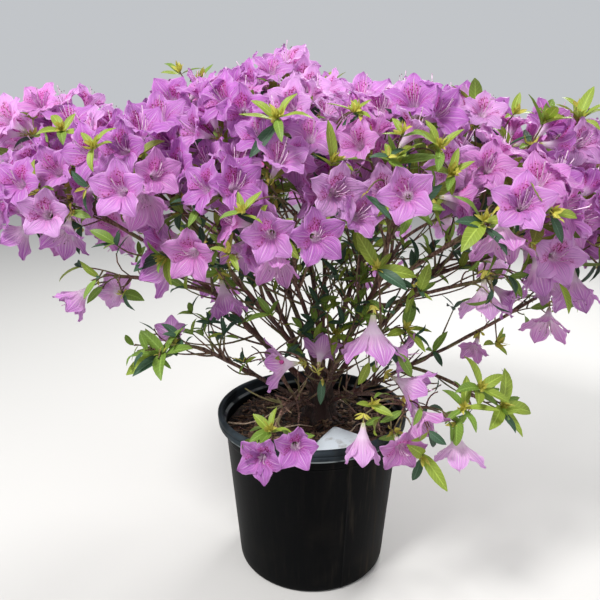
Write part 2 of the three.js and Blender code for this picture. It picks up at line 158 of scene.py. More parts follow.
class Heap:
    """Points and four-cornered faces of like things, gathered in millimetres and made into one mesh."""

    def __init__(self):
        self.points = []
        self.faces = []
        self.marks = []
        self.count = 0

    def add(self, points, faces, marks=None):
        """Marks are where each point lies on its petal or leaf, across and along."""
        points = points.reshape(-1, 3)
        self.points.append(points)
        self.faces.append(faces + self.count)
        self.count += len(points)
        if marks is not None:
            self.marks.append(marks)

    def add_rings(self, rings):
        """A skin of rings of points, each ring joined to the next."""
        self.add(rings, net(*rings.shape[:2], closed=True))

    def piece(self, name, material):
        points = np.concatenate(self.points) * METRES
        faces = np.concatenate(self.faces)
        mesh = bpy.data.meshes.new(name)
        mesh.from_pydata(points, [], faces)
        mesh.shade_smooth()
        if self.marks:
            layer = mesh.uv_layers.new(name="OFBake")
            layer.uv.foreach_set("vector", np.concatenate(self.marks)[faces.ravel()].ravel())
        mesh.materials.append(material)
        return stand(name, mesh)


def stand(name, data):
    """A new object in the scene, made of a mesh, a light or a camera."""
    made = bpy.data.objects.new(name, data)
    bpy.context.scene.collection.objects.link(made)
    return made


def net(rows, columns, closed):
    """The faces of a net of points, row by row. A closed net's last column meets its first."""
    index = np.arange(rows * columns).reshape(rows, columns)
    if closed:
        index = np.hstack([index, index[:, :1]])
    corners = [index[:-1, :-1], index[:-1, 1:], index[1:, 1:], index[1:, :-1]]
    return np.stack(corners, axis=-1).reshape(-1, 4)


def rounded(outline, steps=5):
    """An outline of radii and heights, with each corner cut short by its third value and rounded."""
    points = []
    for i, (radius, height, cut) in enumerate(outline):
        corner = np.array([radius, height])
        if cut == 0:
            points.append(corner)
            continue
        before = np.array(outline[i - 1][:2]) - corner
        after = np.array(outline[i + 1][:2]) - corner
        enter = corner + cut * before / np.linalg.norm(before)
        leave = corner + cut * after / np.linalg.norm(after)
        for t in np.linspace(0, 1, steps):
            points.append((1 - t) ** 2 * enter + 2 * t * (1 - t) * corner + t**2 * leave)
    return np.array(points)


def lathe(outline, angles):
    """Rings of points, one for each point of the outline."""
    radius = outline[:, :1]
    height = np.broadcast_to(outline[:, 1:], (len(outline), len(angles)))
    return np.stack([radius * np.cos(angles), radius * np.sin(angles), height], axis=-1)


neck = POT_HEIGHT - LIP_DEPTH
pot_outline = rounded(
    [
        (0.5, FOOT_HOLLOW, 0),
        (POT_BASE_RADIUS - 2 * FOOT_RING, FOOT_HOLLOW, 1),
        (POT_BASE_RADIUS - 2 * FOOT_RING + 4, 0, 1.5),
        (POT_BASE_RADIUS - 1.5, 0, 7),
        (POT_BASE_RADIUS + 1, 22, 6),
        (POT_NECK_RADIUS - 1.6, neck - 18, 3),
        (POT_NECK_RADIUS, neck - 14, 3),
        (POT_NECK_RADIUS, neck - 0.4, 0.8),
        (LIP_RADIUS - 1.2, neck, 1.2),
        (LIP_RADIUS - 0.4, neck + 8, 1.6),
        (LIP_RADIUS - 2, neck + 9.2, 0.8),
        (LIP_RADIUS - 0.2, neck + 10.6, 1),
        (LIP_RADIUS, POT_HEIGHT - 0.2, 3.6),
        (LIP_RADIUS - LIP_WIDTH, POT_HEIGHT - 0.4, 2.6),
        (LIP_RADIUS - LIP_WIDTH - 0.3, POT_HEIGHT - 6, 1.2),
        (LIP_RADIUS - LIP_WIDTH + 1, POT_HEIGHT - 8, 1.2),
        (LIP_RADIUS - LIP_WIDTH, neck + 2, 1.4),
        (POT_NECK_RADIUS - POT_WALL, neck, 1.4),
        (POT_BASE_RADIUS - POT_WALL, 12, 6),
        (POT_BASE_RADIUS - 2 * FOOT_RING, FOOT_HOLLOW + POT_WALL, 3),
        (0.5, FOOT_HOLLOW + POT_WALL, 0),
    ]
)
seam_angles = np.radians(SEAM_AZIMUTHS)
seam_step = SEAM_WIDTH / POT_NECK_RADIUS
near_seams = (seam_angles[:, None] + seam_step * np.array([-1, -0.5, 0, 0.5, 1])).ravel()
pot_angles = np.sort(np.concatenate([np.linspace(0, 2 * np.pi, POT_SIDES, endpoint=False), near_seams]))
pot_points = lathe(pot_outline, pot_angles)
pot_heights = pot_points[..., 2]
outward = pot_points * [1, 1, 0]
outward /= np.linalg.norm(outward, axis=-1, keepdims=True)
wall_share = np.clip(np.minimum(pot_heights, neck - pot_heights) / DENT_FADE, 0, 1)
dents = np.sin(2 * pot_angles + 0.6) * np.sin(pot_heights / 61)
dents += 0.5 * np.sin(5 * pot_angles + pot_heights / 43)
seam_rise = np.zeros_like(pot_angles)
for seam_angle in seam_angles:
    seam_rise += np.clip(1 - np.abs(pot_angles - seam_angle) / seam_step, 0, 1)
is_outside = np.arange(len(pot_outline))[:, None] < pot_outline[:, 1].argmax()
move = -DENT_DEPTH * wall_share * (1 + dents) + SEAM_HEIGHT * seam_rise * is_outside * (wall_share > 0)
pot_heap = Heap()
pot_heap.add_rings(pot_points + outward * move[..., None])

black_plastic, spot = start_material("black_plastic")
x, y, z = spot.axes()
streaks = spot.stretched(1, 1, 0.05).noise(150, 4)
clouds = spot.noise(14, 4)
grit = spot.noise(900, 2)
# Brown dust streaks run down the wall and are heavier on the right side, where they also paint the sunlit
# side lighter; low down the dust lies in clouds
right_side = x.ramp(0.005, 0.09)
low_down = z.ramp(0.20, 0.02)
streaks_and_light = streaks.ramp(0.48, 0.76) * (0.1 + 1.2 * right_side)
dust_and_light = (streaks_and_light + clouds.ramp(0.52, 0.75) * low_down * 0.35) * 0.5
# The lip's top is painted a lighter blue-grey, a painted reflection of the sky mixed with scuffs
lip_foot = neck * METRES
on_lip = z.ramp(lip_foot - 0.004, lip_foot + 0.003)
sheen_and_scuffs = on_lip * (0.3 + 0.7 * clouds.ramp(0.4, 0.6)) * 0.6
# A thin pale painted glint runs along the lower edge of the lip
on_edge = z.ramp(lip_foot - 0.0004, lip_foot + 0.0006) * z.ramp(lip_foot + 0.0032, lip_foot + 0.0018)
glint = on_edge * spot.noise(30, 3).ramp(0.42, 0.56)
colour = sheen_and_scuffs.mixed(dust_and_light.mixed(BLACK, DUST_AND_LIGHT), SHEEN_AND_SCUFF)
feed_shader(
    black_plastic,
    {
        "Base Color": (glint * 0.8).mixed(colour, EDGE_GLINT),
        "Roughness": 0.42 + 0.35 * dust_and_light + 0.1 * grit,
        "Specular IOR Level": 0.04,
        "Normal": (grit * 0.4 + streaks).bump(0.35, 0.0006),
    },
)
pot = pot_heap.piece("nursery_pot", black_plastic)
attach(pot, "root")
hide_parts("pot")

# The potting mix is composted bark, heaped a little round the root crown and sunk at the wall. Chips,
# dead needles and snapped twigs lie loose on it, and one long dry twig leans from the wall to the limbs.
SOIL_TOP = 218
SOIL_EDGE_DROP = 6
SOIL_FLAT_RADIUS = 62
SOIL_RADIUS = 126
SOIL_RINGS = 46
SOIL_SIDES = 150
SOIL_LUMPS = 1.32
SOIL_SETTLING = 1
CHIP_COUNT = 900
CHIP_LEAST = (5, 3.5, 1.6)
CHIP_MOST = (17, 8, 3.6)
CHIP_TILT = 0.28
LARGE_CHIP_SHARE = 0.12
LARGE_CHIP_SCALE = 1.25
NEEDLE_COUNT = 420
NEEDLE_LENGTH = (18, 62)
NEEDLE_STEPS = 6
NEEDLE_SIDES = 4
DRY_TWIG_SIDES = 6
MIX_DARK = (0.008, 0.005, 0.003, 1)
MIX_LIGHT = (0.038, 0.021, 0.012, 1)
CHIP_TONES = {
    "dark": (0.022, 0.012, 0.008, 1),
    "red": (0.090, 0.037, 0.020, 1),
    "pale": (0.27, 0.17, 0.10, 1),
}
CHIP_SHARES = (0.5, 0.33, 0.17)
NEEDLE_SHADE = (0.075, 0.036, 0.018, 1)
NEEDLE_COLOUR = (0.19, 0.10, 0.048, 1)
DRY_TWIG_SHADE = (0.24, 0.165, 0.11, 1)
DRY_TWIG_COLOUR = (0.52, 0.40, 0.28, 1)
mix_random = np.random.default_rng(11)


def soil_height(x, y):
    """The height of the mix at a place, with its lumps."""
    radius = np.hypot(x, y)
    sink = np.clip((radius - SOIL_FLAT_RADIUS) / (SOIL_RADIUS - SOIL_FLAT_RADIUS), 0, 1)
    lumps = np.sin(x / 7.1 + 1.3 * np.sin(y / 11)) * np.sin(y / 6.3 + 1.1 * np.sin(x / 13))
    lumps += 0.6 * np.sin(x / 3.1 + y / 4.7) * np.sin(y / 2.9 - x / 5.3)
    return SOIL_TOP - SOIL_EDGE_DROP * sink**1.5 + SOIL_LUMPS * lumps - SOIL_SETTLING


def unit(vector):
    return vector / np.linalg.norm(vector, axis=-1, keepdims=True)


def tube(line, radii, sides):
    """Rings of points round a line, each turned as little as it can be from the one before."""
    along = unit(np.gradient(line, axis=0))
    angles = np.linspace(0, 2 * np.pi, sides, endpoint=False)[:, None]
    normal = np.cross(along[0], [0.31, 0.22, 0.92])
    rings = []
    for middle, direction, radius in zip(line, along, radii):
        normal = unit(normal - direction * (normal @ direction))
        side = np.cross(direction, normal)
        rings.append(middle + radius * (np.cos(angles) * normal + np.sin(angles) * side))
    return np.array(rings)


soil_angles = np.linspace(0, 2 * np.pi, SOIL_SIDES, endpoint=False)
soil_radii = np.linspace(SOIL_RADIUS, 0.5, SOIL_RINGS)[:, None]
soil_x = soil_radii * np.cos(soil_angles)
soil_y = soil_radii * np.sin(soil_angles)
soil_surface = np.stack([soil_x, soil_y, soil_height(soil_x, soil_y)], axis=-1)
soil_foot = np.array([[0.5, 12], [POT_BASE_RADIUS - 20, 12], [POT_BASE_RADIUS - 4, 28]])
soil_body = lathe(soil_foot, soil_angles)
soil_heap = Heap()
soil_heap.add_rings(np.concatenate([soil_body, soil_surface]))

potting_mix, spot = start_material("potting_mix")
crumbs = spot.noise(330, 6)
patches = spot.noise(60, 3)
feed_shader(
    potting_mix,
    {
        "Base Color": (crumbs.ramp(0.38, 0.68) * (0.5 + patches)).mixed(MIX_DARK, MIX_LIGHT),
        "Roughness": 0.95,
        "Normal": crumbs.bump(0.9, 0.003),
    },
)
mix = soil_heap.piece("potting_mix", potting_mix)
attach(mix, "root")
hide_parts("soil")


def chip_points(size):
    """The eight corners of a split chip, thinner and narrower at one end, each knocked about a little."""
    corners = np.array([[i, j, k] for i in (-0.5, 0.5) for j in (-0.5, 0.5) for k in (-0.5, 0.5)], float)
    corners[:, 1] *= 1 - 0.5 * (corners[:, 0] > 0)
    return (corners + mix_random.uniform(-0.14, 0.14, (8, 3))) * size


def scattered(margin):
    """A random place on the mix, no nearer to its edge than a margin."""
    radius = (SOIL_RADIUS - margin) * math.sqrt(mix_random.random())
    bearing = mix_random.uniform(0, 2 * np.pi)
    return radius * np.cos(bearing), radius * np.sin(bearing)


def toned(colour, *factors):
    """A colour with its red, green and blue scaled, each by its own factor or all by one."""
    return (*np.multiply(colour[:3], factors), 1)


CHIP_FACES = np.array([[0, 1, 3, 2], [4, 6, 7, 5], [0, 4, 5, 1], [2, 3, 7, 6], [0, 2, 6, 4], [1, 5, 7, 3]])
chip_heaps = {tone: Heap() for tone in CHIP_TONES}
for _ in range(CHIP_COUNT):
    tone = mix_random.choice(list(CHIP_TONES), p=CHIP_SHARES)
    size = mix_random.uniform(CHIP_LEAST, CHIP_MOST)
    size = size * (LARGE_CHIP_SCALE if mix_random.random() < LARGE_CHIP_SHARE else 1)
    turn = mix_random.uniform(0, 2 * np.pi)
    tilt = mix_random.normal(0, CHIP_TILT, 2)
    along = np.array([np.cos(turn), np.sin(turn), tilt[0]])
    across = np.array([-np.sin(turn), np.cos(turn), tilt[1]])
    axes = unit(np.array([along, across, np.cross(along, across)]))
    chip_x, chip_y = scattered(9)
    middle = [chip_x, chip_y, soil_height(chip_x, chip_y) + mix_random.uniform(0.6, 2.8)]
    chip_heaps[tone].add(chip_points(size) @ axes + middle, CHIP_FACES)
for tone, heap in chip_heaps.items():
    chip_bark, spot = start_material("chip_bark_" + tone)
    fibre = spot.stretched(1, 1, 3).noise(520, 4)
    chip_colour = CHIP_TONES[tone]
    feed_shader(
        chip_bark,
        {
            "Base Color": fibre.ramp(0.35, 0.62).mixed(toned(chip_colour, 0.45), chip_colour),
            "Roughness": 0.9,
            "Normal": fibre.bump(0.7, 0.001),
        },
    )
    chips = heap.piece("bark_chips_" + tone, chip_bark)
    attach(chips, "root")

litter = Heap()
for _ in range(NEEDLE_COUNT):
    length = mix_random.uniform(*NEEDLE_LENGTH)
    turn = mix_random.uniform(0, 2 * np.pi)
    middle_x, middle_y = scattered(8)
    t = np.linspace(-0.5, 0.5, NEEDLE_STEPS)
    curl = mix_random.uniform(-0.18, 0.18) * length * (4 * t * t - 1)
    needle_x = middle_x + length * t * np.cos(turn) - curl * np.sin(turn)
    needle_y = middle_y + length * t * np.sin(turn) + curl * np.cos(turn)
    too_far = np.hypot(needle_x, needle_y) > SOIL_RADIUS - 3
    if too_far.any():
        continue
    level = soil_height(needle_x, needle_y).max() + mix_random.uniform(0.8, 2.6)
    needle_z = level + mix_random.uniform(-3, 3) * t
    line = np.stack([needle_x, needle_y, needle_z], axis=-1)
    radii = mix_random.uniform(0.35, 0.6) * np.array([0.4, 1, 1, 1, 1, 0.4])
    litter.add_rings(tube(line, radii, NEEDLE_SIDES))


def mottled(name, scale, colour, other, roughness, low=0.35, high=0.65):
    """A material that drifts from one colour to another in soft spots."""
    material, spot = start_material(name)
    drift = spot.noise(scale).ramp(low, high)
    feed_shader(material, {"Base Color": drift.mixed(colour, other), "Roughness": roughness})
    return material


needles = litter.piece("dead_needles", mottled("dead_needles", 75, NEEDLE_SHADE, NEEDLE_COLOUR, 0.7))
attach(needles, "root")

dry_twigs = Heap()
DRY_TWIGS = [
    [(-123, -26, 223), (-98, -34, 225), (-72, -33, 232), (-44, -26, 250), (-18, -17, 275), (2, -9, 298)],
    [(-62, -52, 220), (-40, -40, 223), (-18, -34, 225), (2, -38, 224)],
    [(40, -62, 219), (56, -48, 222), (66, -28, 223), (84, -12, 220)],
    [(60, 40, 221), (42, 58, 224), (20, 66, 224), (-4, 80, 220)],
]
for points in DRY_TWIGS:
    corners = np.array(points, float)
    share = np.linspace(0, len(corners) - 1, 6 * len(corners))
    line = np.stack([np.interp(share, range(len(corners)), corners[:, k]) for k in range(3)], axis=-1)
    line[1:-1] = (line[:-2] + 2 * line[1:-1] + line[2:]) / 4
    dry_twigs.add_rings(tube(line, np.linspace(1.5, 0.5, len(line)), DRY_TWIG_SIDES))
dry_wood, spot = start_material("dry_wood")
grain = spot.noise(260, 3)
feed_shader(
    dry_wood,
    {
        "Base Color": grain.ramp(0.3, 0.6).mixed(DRY_TWIG_SHADE, DRY_TWIG_COLOUR),
        "Roughness": 0.8,
        "Normal": grain.bump(0.5, 0.0008),
    },
)
dead_twigs = dry_twigs.piece("dry_twigs", dry_wood)
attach(dead_twigs, "root")

# The plant tag is a stiff white plastic card with rounded corners, pushed in among the chips at the
# front. It is blank, bowed a little along its length, and smudged with soil in places.
TAG_WIDTH = 44
TAG_LENGTH = 66
TAG_THICKNESS = 1
TAG_CORNER = 5
TAG_PLACE = (34, -84, 224)
TAG_TILT = 0.12
TAG_TURN = -0.55
TAG_BOW = 1.6
TAG_ROWS = 25
TAG_COLUMNS = 13
TAG_WHITE = (0.60, 0.66, 0.70, 1)
TAG_SMUDGE = (0.24, 0.22, 0.19, 1)

tag_y = -TAG_LENGTH / 2 * np.cos(np.linspace(0, np.pi, TAG_ROWS))[:, None]
past_corner = np.clip(np.abs(tag_y) - (TAG_LENGTH / 2 - TAG_CORNER), 0, TAG_CORNER)
tag_half = TAG_WIDTH / 2 - TAG_CORNER + np.sqrt(TAG_CORNER**2 - past_corner**2)
tag_x = tag_half * np.linspace(-1, 1, TAG_COLUMNS)
tag_rise = TAG_BOW * (1 - (2 * tag_y / TAG_LENGTH) ** 2) + 0 * tag_x
tag_face = np.stack([tag_x, tag_y + 0 * tag_x, tag_rise], axis=-1)
tag_back = tag_face - [0, 0, TAG_THICKNESS]
around = np.concatenate([tag_face, tag_back[:, ::-1]], axis=1)


def turning(angle):
    """The matrix that turns points, held in rows, about Z."""
    c, s = math.cos(angle), math.sin(angle)
    return np.array([[c, s, 0], [-s, c, 0], [0, 0, 1]])


# A tilt about X is a turn about Z with the axes moved on by one
tag_tilting = np.roll(turning(TAG_TILT), 1, axis=(0, 1))
tag_points = around @ turning(TAG_TURN) @ tag_tilting + TAG_PLACE
step = np.arange(TAG_COLUMNS - 1)
tag_end = np.stack([step, 2 * TAG_COLUMNS - 1 - step, 2 * TAG_COLUMNS - 2 - step, step + 1], axis=-1)
other_end = tag_end[:, ::-1] + (TAG_ROWS - 1) * 2 * TAG_COLUMNS
tag_heap = Heap()
tag_heap.add(tag_points, np.concatenate([net(TAG_ROWS, 2 * TAG_COLUMNS, closed=True), tag_end, other_end]))

white_card, spot = start_material("white_card")
smears = spot.noise(70, 5)
feed_shader(
    white_card,
    {
        "Base Color": (smears.ramp(0.55, 0.72) * 0.6).mixed(TAG_WHITE, TAG_SMUDGE),
        "Roughness": 0.32 + 0.2 * smears,
        "Normal": spot.noise(1400, 2).bump(0.1, 0.0003),
    },
)
tag = tag_heap.piece("blank_plant_tag", white_card)
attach(tag, "root")
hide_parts("plant_tag")

# The root crown is where all stems come together, just above the mix. It flares into the tops of the
# first roots, and its dark brown bark is thin, ridged lengthwise and a little flaky.
CROWN_X = 10
CROWN_Y = 12
CROWN_LEAN = 0.12
CROWN_PROFILE = ((29, 0), (22, 7), (18, 20), (16, 40), (13, 58))
CROWN_SIDES = 60
CROWN_RINGS = 28
CROWN_RIDGES = 7
CROWN_RIDGE_DEPTH = 0.2
CROWN_SPIRAL = 0.008
CROWN_ROOT = 3
CROWN_CAP = 4
CROWN_CAP_SHARES = (0.93, 0.7, 0.05)
SOIL_GAP = 0.3
# The root crown's bark is much darker than the limbs' bark: painted shade, for it stands in the shade under
# the crown
SHADED_BARK = ((0.014, 0.008, 0.006, 1), (0.070, 0.042, 0.032, 1), (0.038, 0.017, 0.013, 1))
BARK_DARK = (0.046, 0.022, 0.018, 1)
BARK_LIGHT = (0.165, 0.100, 0.078, 1)
BARK_RED = (0.105, 0.038, 0.030, 1)
wood_random = np.random.default_rng(23)

crown_height = CROWN_PROFILE[-1][1]
crown_heights = np.linspace(-CROWN_ROOT, crown_height + CROWN_CAP, CROWN_RINGS)
profile_radii, profile_heights = zip(*CROWN_PROFILE)
crown_radii = np.interp(crown_heights, profile_heights, profile_radii)
crown_radii[-len(CROWN_CAP_SHARES):] *= CROWN_CAP_SHARES
crown_angles = np.linspace(0, 2 * np.pi, CROWN_SIDES, endpoint=False)
crown_points = lathe(np.stack([crown_radii, crown_heights], axis=-1), crown_angles)
flare = 1 - np.clip(crown_heights / crown_height, 0, 1)[:, None]
twist = crown_angles + CROWN_SPIRAL * crown_heights[:, None]
swell = 1 + CROWN_RIDGE_DEPTH * (0.4 + 0.6 * flare) * np.cos(CROWN_RIDGES * twist)
swell = swell + 0.035 * np.sin(13 * twist) + 0.022 * np.sin(29 * twist + crown_heights[:, None] / 6)
crown_points[..., :2] *= swell[..., None]
crown_points += [CROWN_X, CROWN_Y, SOIL_TOP + SOIL_GAP]
crown_points[..., 0] += CROWN_LEAN * crown_heights[:, None]


def start_bark(name, dark, light, young):
    """Bark whose fissures run up the wood, with reddish patches where it is younger."""
    material, spot = start_material(name)
    fissures = spot.stretched(1, 1, 0.35).noise(420, 5)
    patches = spot.noise(38, 3)
    flakes = spot.noise(240, 3)
    grey = fissures.ramp(0.36, 0.66).mixed(dark, light)
    feed_shader(
        material,
        {
            "Base Color": patches.ramp(0.46, 0.64).mixed(grey, young),
            "Roughness": 0.72 + 0.2 * flakes,
            "Normal": (fissures + 0.5 * flakes).bump(0.4, 0.0008),
        },
    )
    return material


crown_heap = Heap()
crown_heap.add_rings(crown_points)
crown_wood = crown_heap.piece("root_crown_wood", start_bark("shaded_bark", *SHADED_BARK))
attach(crown_wood, "root")
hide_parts("root_crown")

# The main limbs spread from the root crown, up first and then out. Each is one tapering stem with
# rings of old leaf scars that swell it a little, and with kinks where it once forked.
LIMB_OFFSET = 7
LIMB_SIDES = 12
LIMB_RINGS = 46
LIMB_KINK = 1.3
SCAR_SPACING = 38
SCAR_SWELL = 0.11
LIMB_RELIEF = 0.032

# Each limb: its azimuth in degrees, 0 to the right and 270 to the front, the reach and height of its
# tip, how far up the root crown it leaves, its bow, its crest, and its radius at the foot and at the tip
LIMBS = {
    "top": (118, 32, 560, 0.97, 0.1, 0, 4.2, 2.6),
    "upper_left": (165, 118, 545, 0.93, 0.15, 0, 4.2, 2.6),
    "upper_right": (28, 118, 540, 0.93, 0.12, 0, 4.2, 2.6),
    "left": (190, 220, 500, 0.6, 0.02, 0, 4.8, 2.8),
    "front_left": (220, 128, 450, 0.72, 0.08, 0, 4, 2.6),
    "front": (250, 90, 470, 0.9, 0.12, 0, 3.6, 2.5),
    "front_right": (310, 128, 450, 0.62, 0.08, 0, 4, 2.6),
    "right": (355, 205, 485, 0.7, 0.06, 0, 4.4, 2.8),
    "back_right": (42, 195, 470, 0.66, 0.06, 0, 4.4, 2.8),
    "back": (84, 190, 470, 0.74, 0.08, 0, 4.4, 2.8),
    "back_left": (132, 190, 470, 0.64, 0.06, 0, 4.4, 2.8),
    "low_left": (202, 160, 350, 0.3, -0.05, 10, 3.4, 2.4),
    "low_right": (345, 190, 350, 0.35, -0.05, 8, 3.4, 2.4),
    "low_front": (288, 100, 345, 0.4, 0, 12, 3.2, 2.4),
    "hanging_left": (252, 125, 287, 0.2, 0, 26, 2.8, 2.3),
    "hanging_right": (314, 140, 300, 0.25, 0, 26, 3, 2.3),
}


def place(azimuth, reach, height):
    """The point at an azimuth in degrees and a reach from the pot's axis."""
    angle = math.radians(azimuth)
    return np.array([reach * math.cos(angle), reach * math.sin(angle), height])


class Bend:
    """A curve from its start to its tip, which is drawn towards a point between them."""

    def __init__(self, start, between, tip):
        t = np.linspace(0, 1, 201)[:, None]
        self.points = (1 - t) ** 2 * start + 2 * t * (1 - t) * between + t**2 * tip
        steps = np.linalg.norm(np.diff(self.points, axis=0), axis=1)
        self.along = np.concatenate([[0], np.cumsum(steps)])
        self.length = self.along[-1]

    def at(self, share):
        """The point, or the points, at a share of the curve's length."""
        reached = np.asarray(share) * self.length
        return np.stack([np.interp(reached, self.along, self.points[:, k]) for k in range(3)], axis=-1)

    def direction(self, share):
        return unit(self.at(min(share + 0.005, 1)) - self.at(max(share - 0.005, 0)))


def bark_tube(curve, root_radius, tip_radius, sides, rings, kink, relief):
    """A limb's skin: a tapering tube with kinks, leaf scars and furrows."""
    share = np.linspace(0, 1, rings)
    reached = share * curve.length
    line = curve.at(share)
    sway = np.sin(np.pi * share)[:, None] * kink
    phase = wood_random.uniform(0, 2 * np.pi, 3)
    line += sway * np.sin(reached[:, None] / (31, 37, 43) + phase)
    radii = root_radius + (tip_radius - root_radius) * share
    scar_turns = reached / SCAR_SPACING + wood_random.random()
    radii *= 1 + SCAR_SWELL * np.exp(-(((scar_turns % 1) - 0.5) / 0.09) ** 2)
    skin = tube(line, radii, sides)
    bumps = wood_random.uniform(-1, 1, (rings, sides))
    bumps = bumps + np.roll(bumps, 1, axis=0) + np.roll(bumps, -1, axis=0)
    skin += relief * bumps[..., None] * (skin - line[:, None])
    return skin


crown_foot = np.array([CROWN_X, CROWN_Y, SOIL_TOP + SOIL_GAP])
crown_top = crown_foot + [CROWN_LEAN * crown_height, 0, crown_height]
limb_heap = Heap()
limb_curves = {}
for name, (azimuth, reach, height, at, bow, crest, root_radius, tip_radius) in LIMBS.items():
    start = crown_foot + at * (crown_top - crown_foot) + place(azimuth, LIMB_OFFSET, 0)
    tip = place(azimuth, reach, height)
    between = start + (0.5 - bow) * (tip - start)
    between[2] = start[2] + (0.5 + bow) * (tip[2] - start[2]) + crest
    limb_curves[name] = Bend(start, between, tip)
    sizes = (root_radius, tip_radius, LIMB_SIDES, LIMB_RINGS, LIMB_KINK, LIMB_RELIEF)
    limb_heap.add_rings(bark_tube(limb_curves[name], *sizes))
limbs = limb_heap.piece("limb_wood", start_bark("old_bark", BARK_DARK, BARK_LIGHT, BARK_RED))
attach(limbs, "root")
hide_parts(*["limb_" + name for name in LIMBS])

# Each mass of the crown grows from one stem on a limb. The stem's shoots fan out over a cap that faces
# away from the crown's heart, and every shoot has finer twigs. Wood of this age is thin and red-brown.
STEM_STEPS = 3
STEM_ROOT_RADIUS = 3
STEM_TIP_RADIUS = 2.2
TWIG_ROOT_RADIUS = 1.6
TWIG_TIP_RADIUS = 1.3
CROWN_HEART = np.array([0, 0, 430])
GOLDEN_ANGLE = math.pi * (3 - math.sqrt(5))
CAP_ANGLE = 1.75
STEM_BARE = 0.7
TWIG_RELIEF = 0.03
FINE_TWIGS = 3
FINE_TWIG_LENGTH = (26, 44)
FINE_TWIG_RADII = (1.15, 0.85)
FIRST_FOOT = 0.42
FOOT_STEP = 0.17
LEADER_SHARE = 0.16
LEADER_LENGTH = (26, 42)
LEADER_RADII = (1.15, 0.8)
LOW_HEIGHT = 470
LOW_FINE_BLOOM = 0.08
FINE_BLOOM = 0.75
SPARSE_THINNING = 0.65
WOOD_SPACING = 7
INNER_TWIGS = 15
INNER_TWIG_LENGTH = (55, 135)
INNER_TWIG_RADII = (1.7, 0.8)
LOW_INNER_SCALE = 0.6
TWIG_DARK = (0.058, 0.022, 0.016, 1)
TWIG_LIGHT = (0.24, 0.135, 0.095, 1)
TWIG_GREEN = (0.14, 0.13, 0.045, 1)
FIRST_SEED = 101
SEED_STEP = 37
UP = np.array([0, 0, 1])

# The sides, the rings and the kink of each kind of wood
STEM_FORM = (8, 16, 1)
SHOOT_FORM = (6, 10, 0.8)
LONE_TWIG_FORM = (5, 8, 0.8)
LEADER_FORM = (5, 6, 0.6)
FINE_TWIG_FORM = (5, 6, 0.4)
INNER_TWIG_FORM = (5, 10, 2.6)

# Each mass: its limb, how far along it the stem leaves, the azimuth, reach and height of its middle,
# how far its shoots reach, how flat it is, how much their ends lift, their number, and the share that
# blossoms
MASSES = {
    "top": ("top", 1, 124, 66, 660, 46, 1.05, 0.6, 6, 1),
    "top_front": ("top", 0.8, 282, 62, 605, 70, 0.8, 0.3, 5, 1),
    "top_back": ("top", 0.88, 92, 190, 626, 80, 0.7, 0.5, 5, 1),
    "top_left": ("upper_left", 0.86, 150, 152, 628, 68, 0.8, 0.5, 5, 1),
    "upper_left": ("upper_left", 1, 169, 162, 632, 50, 0.95, 0.5, 5, 1),
    "top_right": ("upper_right", 1, 34, 110, 618, 72, 0.7, 0.5, 5, 1),
    "upper_right": ("upper_right", 0.85, 30, 235, 604, 76, 0.75, 0.5, 6, 1),
    "far_left": ("left", 1, 178, 332, 596, 70, 0.8, 0.4, 6, 1),
    "left": ("left", 0.85, 195, 312, 554, 58, 0.75, 0.15, 6, 1),
    "left_front": ("front_left", 0.82, 205, 215, 588, 61, 0.66, 0.35, 6, 1),
    "front_left": ("front_left", 1, 229, 168, 530, 58, 0.95, 0.2, 5, 1),
    "upper_front": ("front", 1, 234, 122, 585, 68, 0.85, 0.3, 5, 1),
    "front": ("front", 0.85, 262, 140, 545, 60, 0.9, 0.15, 6, 1),
    "middle_left": ("front_left", 0.68, 210, 118, 620, 66, 0.68, 0.3, 5, 1),
    "middle_right": ("front_right", 0.92, 330, 128, 603, 66, 0.8, 0.3, 5, 1),
    "front_right": ("front_right", 1, 302, 165, 568, 64, 0.8, 0.2, 6, 0.9),
    "right_front": ("front_right", 0.85, 327, 250, 542, 64, 0.75, 0.15, 5, 0.8),
    "right_low": ("front_right", 0.7, 325, 248, 468, 46, 0.7, -0.7, 4, 0.8),
    "right": ("right", 1, 350, 225, 584, 72, 0.8, 0.3, 6, 1),
    "far_right": ("right", 0.88, 5, 330, 570, 72, 0.85, 0.3, 6, 1),
    "right_side": ("right", 0.76, 346, 325, 512, 62, 0.75, 0.1, 5, 1),
    "back_right": ("back_right", 1, 30, 318, 520, 76, 0.85, 0.15, 5, 1),
    "upper_back_right": ("back_right", 0.85, 60, 262, 585, 78, 0.8, 0.35, 5, 1),
    "back": ("back", 1, 88, 288, 545, 78, 0.85, 0.2, 5, 1),
    "back_low": ("back", 0.8, 72, 275, 445, 66, 0.85, 0, 4, 0.6),
    "back_left": ("back_left", 1, 122, 282, 580, 78, 0.85, 0.3, 5, 1),
    "left_back": ("back_left", 0.84, 152, 310, 548, 74, 0.85, 0.1, 5, 1),
    "back_left_low": ("back_left", 0.7, 128, 268, 440, 66, 0.85, 0, 4, 0.6),
    "low_left": ("low_left", 1, 203, 212, 362, 46, 0.6, 0, 4, 0.25),
    "left_low": ("left", 0.66, 204, 268, 462, 48, 0.66, -0.3, 4, 0.7),
    "low_right": ("low_right", 1, 358, 315, 414, 52, 0.7, -0.5, 4, 0.6),
    "low_front_right": ("low_right", 0.7, 332, 240, 305, 46, 0.5, 0.1, 4, 0),
    "low_front": ("low_front", 1, 302, 158, 396, 46, 0.75, -0.45, 4, 0.9),
    "low_middle": ("hanging_left", 0.6, 236, 95, 350, 38, 0.7, 0.1, 3, 0.8),
    "hanging_left": ("hanging_left", 1, 255, 170, 286, 38, 0.6, -0.15, 3, 1),
    "hanging_right": ("hanging_right", 1, 308, 196, 309, 54, 0.6, -0.7, 6, 0.9),
}
